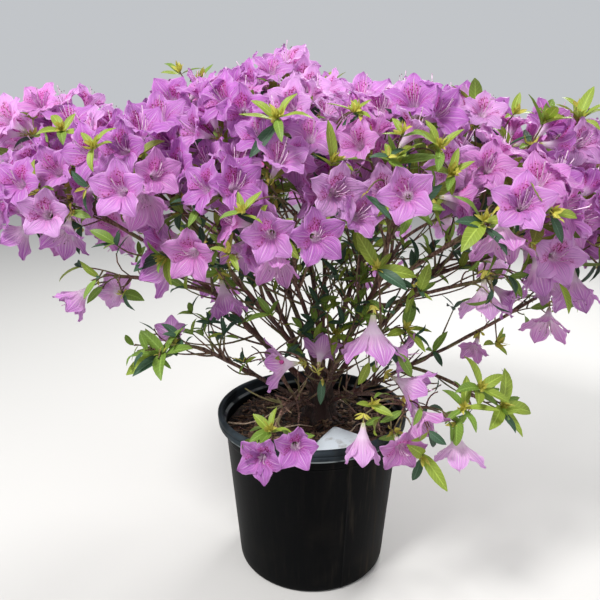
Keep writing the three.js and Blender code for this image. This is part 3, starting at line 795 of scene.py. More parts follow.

# Low down a few blossoms stand apart, and some lead at the front of the crown. Each: its mass, where
# its mouth is, the azimuth and the elevation that it faces, its shape, its tint, how many leaves stand
# behind it, and its size. Where such a blossom hangs in shade, its darker tint is painted shade.
LONE_BLOSSOMS = (
    ("hanging_left", (-59, -212, 270), 262, 4, "open", "mauve", 0, 0.86),
    ("hanging_left", (-18, -210, 285), 276, 14, "open", "mauve", 0, 0.88),
    ("hanging_right", (59, -196, 279), 262, -74, "slim", "pale", 0, 0.92),
    ("hanging_right", (104, -204, 279), 280, -14, "open", "pink", 0, 0.86),
    ("hanging_right", (131, -186, 305), 310, -38, "bell", "pink", 0, 0.92),
    ("hanging_right", (176, -176, 258), 275, -74, "wide", "pale", 1, 0.95),
    ("hanging_right", (122, -168, 340), 338, -22, "bell", "lavender", 0, 0.95),
    ("low_front", (69, -172, 392), 262, -78, "wide", "lavender", 0, 1.18),
    ("low_front", (110, -135, 370), 345, -14, "back", "lavender", 1, 1.0),
    ("low_middle", (-50, -105, 344), 186, -4, "wide", "lavender", 0, 1.0),
    ("low_middle", (12, -90, 360), 80, 30, "back", "lavender", 0, 0.85),
    ("right_low", (199, -150, 438), 270, -80, "wide", "pale", 0, 0.98),
    ("right_low", (245, -95, 433), 320, -30, "back", "mauve", 2, 0.9),
    ("low_right", (311, -60, 383), 245, -48, "wide", "pink", 2, 0.95),
    ("low_right", (215, -70, 358), 240, -30, "back", "pink", 0, 0.7),
    ("left_low", (-291, -120, 434), 205, -40, "bell", "lavender", 0, 0.85),
    ("left_low", (-254, -80, 436), 120, -6, "back", "pale", 1, 0.85),
    ("low_left", (-188, -70, 376), 110, 10, "back", "lavender", 0, 0.72),
    ("front_left", (-109, -100, 425), 300, -66, "bell", "mauve", 1, 0.95),
    ("far_left", (-308, -105, 590), 262, 20, "open", "lavender", 2, 1.0),
    ("far_left", (-362, -5, 673), 262, 40, "open", "pink", 0, 0.95),
    ("left_front", (-198, -215, 576), 262, 12, "open", "lavender", 0, 0.95),
    ("front_left", (-130, -205, 507), 258, -6, "open", "pink", 1, 0.95),
    ("front", (-43, -232, 532), 268, -2, "open", "lavender", 0, 0.92),
    ("front_right", (5, -232, 531), 285, 5, "open", "mauve", 0, 0.92),
    ("front_right", (93, -225, 572), 258, 8, "open", "lavender", 1, 0.95),
    ("right_side", (262, -190, 503), 270, 5, "open", "pale", 1, 0.95),
    ("right_front", (193, -215, 520), 262, -64, "wide", "pink", 0, 1.05),
)
BLOSSOM_REACH = 41

# Places at the crown's edge where no blossom opens, so that the light shows through
OPEN_PLACES = (
    (-157, -186, 477),
    (-131, -171, 453),
    (0, 48, 735),
    (4, 22, 722),
    (18, 62, 716),
    (-132, 70, 716),
    (-215, -8, 680),
    (-397, -48, 551),
    (-376, -60, 516),
    (-362, -127, 522),
    (-336, -160, 545),
    (-330, -141, 509),
)

# Whorls of leaves stand apart there too, and others stand out of the crown in front of the blossoms.
# Each: its mass, where it is, the azimuth and the elevation that it faces, the turn of its first leaf,
# the number and the least and greatest length of its leaves, and the shade that they are in
LONE_WHORLS = (
    ("low_left", (-192, -100, 358), 268, 45, 350, 6, (42, 58), "dull"),
    ("low_left", (-196, -104, 358), 268, 30, 330, 1, (52, 58), "bright"),
    ("low_middle", (30, -80, 379), 285, 40, 20, 5, (34, 44), "bright"),
    ("low_middle", (14, -92, 321), 275, 5, 275, 1, (34, 38), "dark"),
    ("low_middle", (-90, -95, 345), 230, 30, 0, 4, (18, 26), "dull"),
    ("hanging_left", (-49, -190, 297), 262, 55, 40, 5, (28, 38), "bright"),
    ("hanging_right", (69, -190, 330), 300, 40, 230, 2, (28, 34), "bright"),
    ("hanging_right", (131, -192, 266), 280, -10, 230, 2, (46, 56), "bright"),
    ("hanging_right", (130, -188, 259), 280, -10, 290, 1, (34, 38), "dark"),
    ("low_front_right", (203, -150, 335), 290, 50, 170, 5, (40, 54), "bright"),
    ("low_front_right", (236, -138, 306), 300, 30, 200, 5, (46, 62), "bright"),
    ("low_front_right", (182, -165, 316), 260, 40, 45, 5, (34, 48), "bright"),
    ("low_front", (114, -130, 404), 290, 45, 200, 4, (34, 48), "bright"),
    ("low_front", (71, -175, 488), 265, 35, 52, 2, (44, 56), "bright"),
    ("low_front", (72, -174, 487), 265, 35, 130, 1, (28, 34), "bright"),
    ("low_front", (72, -175, 486), 265, 20, 215, 1, (44, 50), "dark"),
    ("low_front", (117, -150, 460), 270, 30, 10, 3, (30, 38), "dull"),
    ("right_low", (231, -112, 379), 300, 20, 100, 4, (20, 28), "bright"),
    ("top_front", (44, -150, 654), 270, 60, 90, 4, (24, 34), "bright"),
    ("top_front", (51, -152, 654), 270, 0, 275, 1, (26, 30), "dark"),
    ("upper_left", (-178, 20, 712), 265, 60, 30, 3, (26, 34), "bright"),
    ("top_left", (-157, 50, 709), 270, 60, 150, 2, (26, 32), "bright"),
    ("right", (244, -60, 656), 285, 45, 190, 3, (26, 34), "bright"),
    ("far_right", (346, 5, 665), 285, 55, 160, 3, (28, 36), "bright"),
    ("far_left", (-306, -75, 636), 270, 40, 60, 5, (30, 40), "bright"),
    ("left_front", (-229, -188, 618), 262, 35, 130, 4, (28, 36), "bright"),
    ("left_front", (-238, -195, 575), 250, -20, 270, 2, (26, 32), "dark"),
    ("upper_front", (-37, -192, 647), 270, 35, 345, 5, (34, 46), "bright"),
    ("upper_front", (-38, -190, 641), 270, 5, 258, 1, (42, 46), "dark"),
    ("front", (-69, -238, 557), 265, 50, 70, 4, (24, 32), "bright"),
    ("front_left", (-87, -216, 513), 265, 30, 100, 3, (22, 30), "bright"),
    ("middle_right", (131, -185, 618), 280, 40, 10, 4, (34, 44), "bright"),
    ("front_right", (90, -198, 632), 262, 50, 60, 3, (22, 30), "bright"),
    ("middle_right", (145, -184, 591), 275, 30, 100, 5, (28, 38), "bright"),
    ("middle_right", (76, -203, 609), 270, 40, 90, 4, (20, 28), "dull"),
    ("front_right", (53, -222, 574), 270, 20, 180, 1, (38, 42), "dark"),
    ("right_front", (172, -222, 547), 275, 35, 40, 3, (34, 52), "bright"),
    ("right_front", (173, -220, 541), 275, 20, 235, 2, (38, 46), "dark"),
    ("right_front", (234, -236, 558), 285, 30, 55, 3, (32, 44), "bright"),
    ("right_front", (236, -234, 553), 285, 0, 240, 1, (30, 36), "dark"),
    ("right_side", (280, -160, 471), 280, 40, 0, 4, (34, 48), "bright"),
)


def random_from(seed):
    """A repeatable stream of numbers from 0 up to 1, the same that set out the solids of the masses."""
    state = seed
    while True:
        state = (state * 1664525 + 1013904223) % 4294967296
        yield state / 4294967296


def square_to(one, other):
    """The direction square to two others, or along X where those nearly agree."""
    side = np.cross(one, other)
    return unit(side) if np.linalg.norm(side) >= 0.1 else np.array([1.0, 0, 0])


def leaning(axis, angle, turn):
    """A direction that leans off an axis by an angle, at a turn round it."""
    side = square_to(axis, UP)
    out = math.cos(turn) * side + math.sin(turn) * np.cross(side, axis)
    return unit(math.cos(angle) * axis + math.sin(angle) * out)


def chord_point(curve, steps, at):
    """A point on a curve that is taken as straight from step to step."""
    step = min(math.floor(at * steps), steps - 1)
    rest = at * steps - step
    return (1 - rest) * curve.at(step / steps) + rest * curve.at((step + 1) / steps)


def shoots_of(mass, seed, stem, heart):
    """The shoots of a mass: a curve for each, the way its end points, a turn, and whether it blooms."""
    size, flat, lift, count, bloom = mass[5:]
    random = random_from(seed)
    away = unit(heart - CROWN_HEART)
    for i in range(count):
        share = (i + 0.5) / count
        polar = math.acos(1 - share * (1 - math.cos(CAP_ANGLE)))
        spread = leaning(away, polar, i * GOLDEN_ANGLE + 0.7 * next(random))
        length = size * (0.82 + 0.18 * next(random))
        tip = heart + spread * (1, 1, flat) * length
        end = unit(spread + UP * lift)
        start = chord_point(stem, STEM_STEPS, 1 - STEM_BARE * share)
        between = tip - 0.45 * np.linalg.norm(start - tip) * end
        turn = 2 * math.pi * next(random)
        yield Bend(start, between, tip), end, turn, next(random) < bloom


# Each tip is noted for what it will carry: its place, the way it points, its turn, whether it blooms,
# whether it ends a shoot or only a fine twig, and the habit of its mass. Leaders bear leaves alone.
twig_heap = Heap()
tips = []
leaders = []
leader_points = []
lone_blossoms = []
lone_whorls = []
sparse_masses = {row[0] for row in LONE_BLOSSOMS + LONE_WHORLS}
wood_points = [curve.at(np.linspace(0, 1, 60)) for curve in limb_curves.values()]


def add_twig(curve, root_radius, tip_radius, sides, rings, kink):
    """A twig's skin, and the points along it that blossoms keep clear of."""
    skin = bark_tube(curve, root_radius, tip_radius, sides, rings, kink, TWIG_RELIEF)
    twig_heap.add_rings(skin)
    count = max(4, int(curve.length / WOOD_SPACING))
    wood_points.append(curve.at(np.linspace(0, 1, count)))


def towards(azimuth, elevation):
    """The direction at an azimuth and an elevation in degrees."""
    rise = math.radians(elevation)
    return place(azimuth, math.cos(rise), math.sin(rise))


def add_lone_twig(start, tip):
    """A fine twig that arches over from the heart of a mass to what stands apart."""
    over = 0.5 * (start + tip) + 0.3 * np.linalg.norm(tip - start) * UP
    add_twig(Bend(start, over, tip), *FINE_TWIG_RADII, *LONE_TWIG_FORM)


def grow_lone_things(name, heart, is_low):
    """Grows the blossoms and whorls of a mass that stand apart, each on a twig of its own."""
    for mass_name, mouth, *faces, shape, tint, leaf_count, grown in LONE_BLOSSOMS:
        if mass_name == name:
            axis = towards(*faces)
            tip = np.array(mouth) - BLOSSOM_REACH * grown * axis
            add_lone_twig(heart, tip)
            lone_blossoms.append((tip, axis, shape, tint, leaf_count, grown))
    for mass_name, tip, *faces, turn, leaf_count, lengths, shade in LONE_WHORLS:
        if mass_name == name:
            tip = np.array(tip)
            add_lone_twig(heart, tip)
            lone_whorls.append((tip, towards(*faces), math.radians(turn), leaf_count, lengths, shade))
            if not is_low:
                leader_points.append([tip])


def grow_leader(tip, end, turn):
    """Grows a leader on beyond the tip of a shoot, so that its leaves stand above the blossoms."""
    lead_end = leaning(end, wood_random.uniform(0.05, 0.35), turn)
    lead_tip = tip + wood_random.uniform(*LEADER_LENGTH) * unit(lead_end + 0.3 * UP)
    leader = Bend(tip, 0.5 * (tip + lead_tip) + 3 * end, lead_tip)
    add_twig(leader, *LEADER_RADII, *LEADER_FORM)
    leaders.append((lead_tip, lead_end, turn))
    leader_points.append(leader.at(np.array([0.6, 0.8, 1])))


def grow_fine_twigs(shoot, shoot_end, shoot_turn, mass, heart, habit):
    """Grows finer twigs from the sides of a shoot, where their tips stay in the mass's own space."""
    size, flat, lift, _, bloom = mass[5:]
    fine_bloom = LOW_FINE_BLOOM if habit["is_low"] else FINE_BLOOM * bloom
    for k in range(FINE_TWIGS):
        foot_share = FIRST_FOOT + FOOT_STEP * k + 0.1 * wood_random.random()
        foot = shoot.at(foot_share)
        turn = shoot_turn + (k + 0.5) * GOLDEN_ANGLE + wood_random.uniform(-0.4, 0.4)
        heading = leaning(shoot.direction(foot_share), wood_random.uniform(0.7, 1.1), turn)
        length = wood_random.uniform(*FINE_TWIG_LENGTH) * min(1, size / 70)
        tip = foot + length * unit(heading + 0.35 * UP * lift)
        if np.linalg.norm((tip - heart) / (1, 1, flat)) > size:
            continue
        end = unit(heading + 0.6 * shoot_end + 0.5 * UP * lift)
        add_twig(Bend(foot, tip - 0.5 * length * end, tip), *FINE_TWIG_RADII, *FINE_TWIG_FORM)
        blooms = wood_random.random() < fine_bloom and not habit["is_sparse"]
        tips.append({"at": tip, "end": end, "turn": turn, "blooms": blooms, "is_shoot": False, **habit})


for i, (name, mass) in enumerate(MASSES.items()):
    limb_name, at, azimuth, reach, height, _, _, lift, _, _ = mass
    limb = limb_curves[limb_name]
    heart = place(azimuth, reach, height)
    start = limb.at(at)
    onward = unit(unit(heart - start) + limb.direction(at) * (1 if at == 1 else 0.3))
    stem = Bend(start, start + 0.5 * np.linalg.norm(heart - start) * onward, heart)
    stem_root = min(STEM_ROOT_RADIUS, LIMBS[limb_name][-1])
    add_twig(stem, stem_root, STEM_TIP_RADIUS, *STEM_FORM)
    is_low = height < LOW_HEIGHT
    is_sparse = is_low and name in sparse_masses
    habit = {"droop": max(0, -lift) if is_low else 0, "is_low": is_low, "is_sparse": is_sparse}
    grow_lone_things(name, heart, is_low)
    thin = SPARSE_THINNING if is_sparse else 1
    for shoot, end, turn, blooms in shoots_of(mass, FIRST_SEED + SEED_STEP * i, stem, heart):
        add_twig(shoot, thin * TWIG_ROOT_RADIUS, thin * TWIG_TIP_RADIUS, *SHOOT_FORM)
        tip = shoot.at(1)
        blooms = blooms and not is_sparse
        tips.append({"at": tip, "end": end, "turn": turn, "blooms": blooms, "is_shoot": True, **habit})
        if blooms and not is_low and wood_random.random() < LEADER_SHARE:
            grow_leader(tip, end, turn)
        grow_fine_twigs(shoot, end, turn, mass, heart, habit)
leader_points = np.concatenate(leader_points + [OPEN_PLACES])

# Inside the crown thin twigs with few leaves fill the space between the limbs
inner_tips = []
for name, limb in limb_curves.items():
    shorter = LOW_INNER_SCALE if "hanging" in name or "low" in name else 1
    for k in range(INNER_TWIGS):
        foot_share = wood_random.uniform(0.3, 0.98)
        foot = limb.at(foot_share)
        heading = leaning(limb.direction(foot_share), wood_random.uniform(0.3, 1.15), k * GOLDEN_ANGLE)
        length = wood_random.uniform(*INNER_TWIG_LENGTH) * shorter
        end = unit(heading + 0.7 * UP)
        tip = foot + length * unit(heading + 0.3 * UP)
        add_twig(Bend(foot, tip - 0.4 * length * end, tip), *INNER_TWIG_RADII, *INNER_TWIG_FORM)
        inner_tips.append((tip, end, k))
wood_points = np.concatenate(wood_points)

young_bark = start_bark("young_bark", TWIG_DARK, TWIG_LIGHT, TWIG_GREEN)
twigs = twig_heap.piece("twigs", young_bark)
mass_nodes = ["mass_" + name for name in MASSES]
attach(twigs, "root")
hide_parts(*mass_nodes)

# Every blossom is a thin funnel with five lobes, which spread wide at the mouth of most. The upper lobe
# is flushed with magenta and freckled with crimson, and some have a few small extra petals inside.
PETAL_LENGTH = 55
PETAL_STEPS = 100
PETAL_COLUMNS = 9
TUBE_SHARE = 0.38
TUBE_RADIUS = 2.4
LOBE_HALF_WIDTH = 14.8
LOBE_ROWS = 10
LOBE_FULL_AT = 0.46
LOBE_NARROWS_AT = 0.34
LOBE_POINT = (1.8, 0.85)
LEAST_LOBE = 0.04
WAVE_COUNT = 3.4
RUFFLE = 2.1
FRILL = 0.075
PLEAT = 0.6
MIDRIB_CREASE = 0.8
OVERLAP_TURN = 0.11
BASE_OPENING = 7
FULL_REFLEX = 75

# The angles in degrees to which the lobes of a facing blossom open, with its number of extra petals
OPENINGS = (58, 64, 70, 74, 78, 82, 86, 90, 76, 84)
EXTRA_PETALS = (0, 0, 0, 3, 0, 0, 4, 0, 0, 0)
EXTRA_LENGTH = 0.76
EXTRA_WIDTH = 0.42
EXTRA_OPENING = 0.55
EXTRA_INSET = 0.55

# Blossoms that show their backs: how far each opens, and by what share of its length
BACKS = {
    "slim": ((19, 23), 0.3),
    "bell": ((28, 31, 35), 0.34),
    "wide": ((39, 43), 0.36),
    "back": ((60, 68), 0.95),
}
BLOSSOM_SIZE = (0.84, 1.05)
MOUTH_RADIUS = 30
MOUTH_SPACING = 33
MOUTH_TRIES = 6
PEDICEL_LENGTH = 9
POT_CLEARANCE = 20
WOOD_CLEARANCE = 8
WOOD_IN_REACH = 60
OWN_WOOD = 14
LEADER_CLEARANCE = 25
BOX_MARGIN = 3
OUTWARD_TURN = 0.35
DROOP = (0.6, 2.2)
BELL_DIP = -0.45
ROLL = 0.3
TINTS = {
    "pale": (0.76, 0.39, 0.77, 1),
    "lavender": (0.68, 0.28, 0.70, 1),
    "mauve": (0.59, 0.20, 0.62, 1),
    "pink": (0.73, 0.29, 0.69, 1),
}
TINT_SHARES = (0.3, 0.32, 0.18, 0.2)
PETAL_PALE = (0.92, 0.74, 0.90, 1)
PETAL_BASE = (0.84, 0.84, 0.62, 1)
MAGENTA = (0.72, 0.10, 0.48, 1)
CRIMSON = (0.30, 0.012, 0.10, 1)
blossom_random = np.random.default_rng(47)


def smooth(low, high, value):
    share = np.clip((value - low) / (high - low), 0, 1)
    return share * share * (3 - 2 * share)


lobe_rows = 1 - (1 - np.linspace(0, 1, LOBE_ROWS)[1:]) ** 1.25
petal_rows = np.concatenate([[0, TUBE_SHARE / 2, TUBE_SHARE], TUBE_SHARE + (1 - TUBE_SHARE) * lobe_rows])
petal_columns = np.linspace(-1, 1, PETAL_COLUMNS)


def petal_points(opening, length, half_width, inset, opens_by):
    """A petal that leaves the base at X = its radius, runs up Z and opens towards X."""
    # The middle line, which bends by an angle at each step from the base to the tip
    fine = np.linspace(0, 1, PETAL_STEPS + 1)
    droop = blossom_random.uniform(-6, 6) * smooth(TUBE_SHARE, 0.9, fine)
    opened = (opening - BASE_OPENING) * smooth(0.13 * opens_by, opens_by, fine)
    angles = np.radians(BASE_OPENING + opened + droop)
    step = length / PETAL_STEPS
    radius = inset * TUBE_RADIUS + step * np.concatenate([[0], np.cumsum(np.sin(angles[1:]))])
    height = step * np.concatenate([[0], np.cumsum(np.cos(angles[1:]))])
    s = petal_rows[:, None]
    r = np.interp(s, fine, radius)
    z = np.interp(s, fine, height)
    angle = np.interp(s, fine, angles)

    # The width, which fills the tube in the lower part and is a pointed lobe with frilled edges above
    along_lobe = np.clip((s - TUBE_SHARE) / (1 - TUBE_SHARE), 0, 1)
    joined = math.pi / 5 * np.minimum(r, np.interp(TUBE_SHARE, fine, radius)) * inset
    width = joined + (half_width - joined) * smooth(0, LOBE_FULL_AT, along_lobe)
    past_middle = np.clip((along_lobe - LOBE_NARROWS_AT) / (1 - LOBE_NARROWS_AT), 0, 1)
    width = width * np.maximum((1 - past_middle ** LOBE_POINT[0]) ** LOBE_POINT[1], LEAST_LOBE)
    phase = blossom_random.uniform(0, 2 * math.pi, 2)
    waves = np.sin(2 * math.pi * WAVE_COUNT * s + np.where(petal_columns < 0, phase[0], phase[1]))
    width = width * (1 + FRILL * waves * smooth(0.5, 0.7, s))
    across = width * petal_columns

    # The curl, round the tube below and back at the lobe's edges above
    free = smooth(TUBE_SHARE, 0.8, s)
    reflex = np.clip((opening - 45) / 20, 0, 1) / FULL_REFLEX
    curl = (1 - free) / (r * inset + 1e-6) - free * reflex
    theta = curl * across
    sideways = across * np.sinc(theta / math.pi)
    inward = across * np.sin(theta / 2) * np.sinc(theta / 2 / math.pi)
    lift = smooth(TUBE_SHARE, TUBE_SHARE + 0.15, s)
    inward_x = -1 + lift * (1 - np.cos(angle))
    inward_z = lift * np.sin(angle)

    # The ruffles, the pleats, the crease along the middle and the way each lobe overlaps the next
    relief = RUFFLE * petal_columns**2 * np.roll(waves, 1, axis=0) * smooth(0.5, 0.78, s)
    relief = relief - PLEAT * np.cos(4 * math.pi * petal_columns) * smooth(0.35, 0.6, s)
    relief = relief - MIDRIB_CREASE * (np.abs(petal_columns) < 0.1) * smooth(0.25, 0.5, s)
    relief = relief + OVERLAP_TURN * across * lift
    relief = relief - blossom_random.uniform(0, 3) * along_lobe**2
    depth = inward + relief
    return np.stack([r + inward_x * depth, sideways, z + inward_z * depth], axis=-1)


def petal_marks(tile, is_mirrored):
    """Where each point of a petal lies: a quarter of the way across for each kind, and base to tip."""
    columns = -petal_columns if is_mirrored else petal_columns
    across = (tile + 0.5 + 0.46 * columns) / 4
    across = np.broadcast_to(across, (len(petal_rows), PETAL_COLUMNS))
    along = np.broadcast_to(0.01 + 0.98 * petal_rows[:, None], across.shape)
    return np.stack([across, along], axis=-1).reshape(-1, 2)


# The kinds of lobe, in order round the mouth from the upper one: 0 is the upper lobe, 1 a shoulder
# beside it, 2 a plain one and 3 one that shows its pale back, on a blossom that faces away
LOBE_KINDS = (0, 1, 2, 2, 1)
BACK_KINDS = (3, 3, 3, 3, 3)
petal_net = net(len(petal_rows), PETAL_COLUMNS, closed=False)


def make_corolla(opening, extra_petals, kinds=LOBE_KINDS, opens_by=0.95):
    """The points, faces and marks of one blossom's petals. It faces +Z with its upper lobe at +Y."""
    points = []
    marks = []
    for k, kind in enumerate(kinds):
        petal = petal_points(opening, PETAL_LENGTH, LOBE_HALF_WIDTH, 1, opens_by)
        points.append(petal @ turning(math.pi / 2 + 2 * math.pi * k / len(kinds)))
        marks.append(petal_marks(kind, is_mirrored=k == len(kinds) - 1))
    for k in range(extra_petals):
        length = EXTRA_LENGTH * PETAL_LENGTH
        half_width = EXTRA_WIDTH * LOBE_HALF_WIDTH
        petal = petal_points(EXTRA_OPENING * opening, length, half_width, EXTRA_INSET, opens_by)
        points.append(petal @ turning(math.pi / 2 + (k + 0.5) * GOLDEN_ANGLE))
        marks.append(petal_marks(1 if k % 2 else 2, is_mirrored=False))
    faces = [petal_net + k * len(petal_rows) * PETAL_COLUMNS for k in range(len(points))]
    return np.concatenate(points).reshape(-1, 3), np.concatenate(faces), np.concatenate(marks)


corollas = [make_corolla(*kind) for kind in zip(OPENINGS, EXTRA_PETALS)]
kinds_of = {"open": range(len(corollas))}
for shape, (openings, opens_by) in BACKS.items():
    kinds_of[shape] = range(len(corollas), len(corollas) + len(openings))
    corollas += [make_corolla(opening, 0, BACK_KINDS, opens_by) for opening in openings]


def facing(axis, roll):
    """Rows that turn +Z to an axis, with +Y as near to straight up as that leaves, and then roll."""
    side = square_to(UP, axis)
    upper = np.cross(axis, side)
    c, s = math.cos(roll), math.sin(roll)
    return np.array([c * side + s * upper, c * upper - s * side, axis])


def distance_to_pot(point):
    """How far a point is from the pot, taken as a plain drum."""
    outside = max(math.hypot(point[0], point[1]) - LIP_RADIUS, 0)
    return math.hypot(outside, max(point[2] - POT_HEIGHT, 0))


box_low, box_high = (np.array(corner) / METRES for corner in cad_box)
mouths = np.array([tip + BLOSSOM_REACH * grown * axis for tip, axis, *_, grown in lone_blossoms])
blossoms = []
truss_tips = []
for tip, axis, shape, tint, leaf_count, grown in lone_blossoms:
    roll = blossom_random.normal(0, ROLL)
    blossoms.append((tip, axis, roll, grown, blossom_random.choice(kinds_of[shape]), tint))
    truss_tips.append((tip, axis, roll, leaf_count))


def distances(points, place):
    """How far each of some points is from a place."""
    return np.linalg.norm(points - place, axis=1)


def has_room(tip, axis, mouth):
    """Whether a blossom's mouth is clear of the others, of wood and of the pot, and in the part's box."""
    if distances(mouths, mouth).min() < MOUTH_SPACING:
        return False
    if distances(leader_points, mouth).min() < LEADER_CLEARANCE:
        return False
    spread = MOUTH_RADIUS * np.sqrt(np.clip(1 - axis**2, 0, 1)) - BOX_MARGIN
    if (mouth - spread < box_low).any() or (mouth + spread > box_high).any():
        return False
    if distance_to_pot(mouth) < POT_CLEARANCE:
        return False
    near = wood_points[distances(wood_points, mouth) < WOOD_IN_REACH]
    near = near[distances(near, tip) > OWN_WOOD]
    on_axis = [tip + share * (mouth - tip) for share in (0.5, 0.75, 1, 1.25)]
    return all((distances(near, point) >= WOOD_CLEARANCE).all() for point in on_axis)


def find_mouth(bearer, j, count):
    """The axis and the mouth of a truss's next blossom, or nothing where no try of them has room."""
    tip = bearer["at"]
    horizontal = (tip - CROWN_HEART) * (1, 1, 0) / 200
    for attempt in range(MOUTH_TRIES):
        lean = blossom_random.uniform(0.45, 1.0) + 0.08 * attempt
        axis = leaning(bearer["end"], lean, bearer["turn"] + 2 * math.pi * j / count + 0.8 * attempt)
        droop = bearer["droop"] * blossom_random.uniform(*DROOP)
        axis = unit(axis + OUTWARD_TURN * horizontal - droop * UP)
        mouth = tip + BLOSSOM_REACH * axis
        if axis @ unit(tip - CROWN_HEART) > -0.2 and has_room(tip, axis, mouth):
            return axis, mouth
    return None


for bearer in sorted(tips, key=lambda tip: not tip["is_shoot"]):
    if not bearer["blooms"]:
        continue
    tip, end, turn = bearer["at"], bearer["end"], bearer["turn"]
    tint = blossom_random.choice(list(TINTS), p=TINT_SHARES)
    if bearer["is_shoot"] and not bearer["is_low"]:
        least = 3 if end[2] > 0.1 else 1
        count = blossom_random.integers(least, least + 2)
    else:
        count = 1 + (blossom_random.random() < 0.25)
    opened = 0
    for j in range(count):
        found = find_mouth(bearer, j, count)
        if found is None:
            continue
        axis, mouth = found
        mouths = np.concatenate([mouths, [mouth]])
        kind = blossom_random.choice(kinds_of["bell" if axis[2] < BELL_DIP else "open"])
        roll = blossom_random.normal(0, ROLL)
        size = blossom_random.uniform(*BLOSSOM_SIZE)
        blossoms.append((tip, axis, roll, size, kind, tint))
        opened += 1
    if opened:
        truss_tips.append((tip, end, turn, blossom_random.integers(2, 5)))

petal_heaps = {tint: Heap() for tint in TINTS}
for tip, axis, roll, size, kind, tint in blossoms:
    points, faces, marks = corollas[kind]
    petal_heaps[tint].add(size * points @ facing(axis, roll) + tip + PEDICEL_LENGTH * axis, faces, marks)

PETAL_TRANSLUCENCY = 0.45


def let_light_through(material, share, colour, normal):
    """Makes a skin so thin that a share of the light on its back shows at its front."""
    tree = material.node_tree
    glow = colour.node("BsdfTranslucent", {}, {"Color": colour, "Normal": normal})
    opaque = Signal(tree.nodes["Principled BSDF"].outputs[0])
    both = opaque.node("MixShader", {}, {0: share, 1: opaque, 2: glow})
    tree.links.new(both.socket, tree.nodes["Material Output"].inputs["Surface"])


for seed, (tint, tint_colour) in enumerate(TINTS.items()):
    petal_skin, spot = start_material("petal_" + tint)
    mark_x, mark_y, _ = spot.node("UVMap", {"uv_map": "OFBake"}, {}).axes()
    quarters = mark_x * 4
    tile = quarters.math("FLOOR")
    across = (quarters - tile) * 2 - 1
    from_middle = across.math("ABSOLUTE")
    is_upper = tile.math("LESS_THAN", 0.5)
    is_shoulder = tile.math("COMPARE", 1, 0.2)
    is_back = tile.math("GREATER_THAN", 2.5)
    cells = spot.node("CombineXYZ", {}, {0: across * 6.2, 1: mark_y * 24, 2: 3.7 * seed})
    dots = cells.node("TexVoronoi", {}, {"Vector": cells, "Scale": 1.0}).ramp(0.45, 0.33)
    half_way_up = mark_y.ramp(0.34, 0.46)
    upper_field = is_upper * half_way_up * (mark_y + 0.25 * from_middle).ramp(0.86, 0.72)
    upper_field = upper_field * from_middle.ramp(1.0, 0.6)
    shoulder_field = is_shoulder * half_way_up * mark_y.ramp(0.80, 0.60) * across.ramp(-0.1, 0.4)
    streaks = spot.node("CombineXYZ", {}, {0: across * 14, 1: mark_y * 2.4, 2: seed}).noise(1, 5)
    veins = (across * (8 * math.pi)).math("COSINE").ramp(0.5, 1)
    lobe = mark_y.ramp(0.75, 0.45).mixed(tint_colour, toned(tint_colour, 1.08, 0.92, 0.94))
    lobe = streaks.ramp(0.36, 0.6).mixed(toned(tint_colour, 0.78, 0.68, 0.82), lobe)
    lobe = (veins * (0.14 + 0.3 * is_back) + from_middle.ramp(0.07, 0.0) * 0.3).mixed(lobe, PETAL_PALE)
    lobe = (from_middle.ramp(0.62, 1.0) * mark_y.ramp(0.4, 0.8) * 0.3).mixed(lobe, PETAL_PALE)
    lobe = (upper_field * 0.42 + shoulder_field * 0.25).mixed(lobe, MAGENTA)
    throat = (mark_y.ramp(0.46, 0.2) + is_back * mark_y.ramp(0.85, 0.3) * 0.6).mixed(lobe, PETAL_PALE)
    throat = mark_y.ramp(0.2, 0.0).mixed(throat, PETAL_BASE)
    petal_colour = (dots * (upper_field + shoulder_field * 0.8)).mixed(throat, CRIMSON)
    relief = (veins * 0.6 + streaks).bump(0.6, 0.0009)
    feed_shader(petal_skin, {"Base Color": petal_colour, "Roughness": 0.55, "Normal": relief})
    let_light_through(petal_skin, PETAL_TRANSLUCENCY, petal_colour, relief)
    petals = petal_heaps[tint].piece("petals_" + tint, petal_skin)
    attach(petals, "root")
    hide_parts(*mass_nodes)

# Six stamens and one longer style stand out of each mouth. Their threads dip and then curve up towards
# the upper lobe, and the anthers at their ends are dark.
STAMENS = 6
STAMEN_REACH = (34, 45)
STAMEN_SETS = 6
STYLE_REACH = 50
THREAD_RADIUS = 0.42
THREAD_SIDES = 3
THREAD_TAPER = np.array([1.2, 1.1, 1, 0.9, 0.7])
STYLE_TAPER = np.array([1.3, 1.2, 1.1, 1, 1.9])
ANTHER_RADII = (0.3, 0.65, 0.25)
ANTHER_LENGTH = 1.6
THREAD_COLOUR = (0.90, 0.66, 0.82, 1)
ANTHER_COLOUR = (0.16, 0.045, 0.075, 1)


def thread(reach, turn, spread):
    """A thread's line of points, from the tube out of the mouth."""
    t = np.linspace(0, 1, len(THREAD_TAPER))
    out = spread * t**1.3
    sag = 6 * t * t - 8 * np.sin(np.pi * t) * t * 0.6
    return np.stack([out * math.cos(turn), out * math.sin(turn) + sag, 4 + (reach - 4) * t], axis=-1)


def make_stamens():
    """The threads and the anthers of one blossom, which faces +Z."""
    threads = []
    anthers = []
    for k in range(STAMENS):
        reach = blossom_random.uniform(*STAMEN_REACH)
        line = thread(reach, k * GOLDEN_ANGLE, blossom_random.uniform(5, 10))
        threads.append(tube(line, THREAD_RADIUS * THREAD_TAPER, THREAD_SIDES))
        heading = unit(unit(line[-1] - line[-2]) + 0.6 * UP)
        ends = line[-1] + ANTHER_LENGTH * np.array([[-0.3], [0.3], [0.9]]) * heading
        anthers.append(tube(ends, ANTHER_RADII, THREAD_SIDES))
    style = thread(STYLE_REACH, 1.2, 4)
    threads.append(tube(style, THREAD_RADIUS * STYLE_TAPER, THREAD_SIDES))
    return {"stamen_threads": threads, "anthers": anthers}


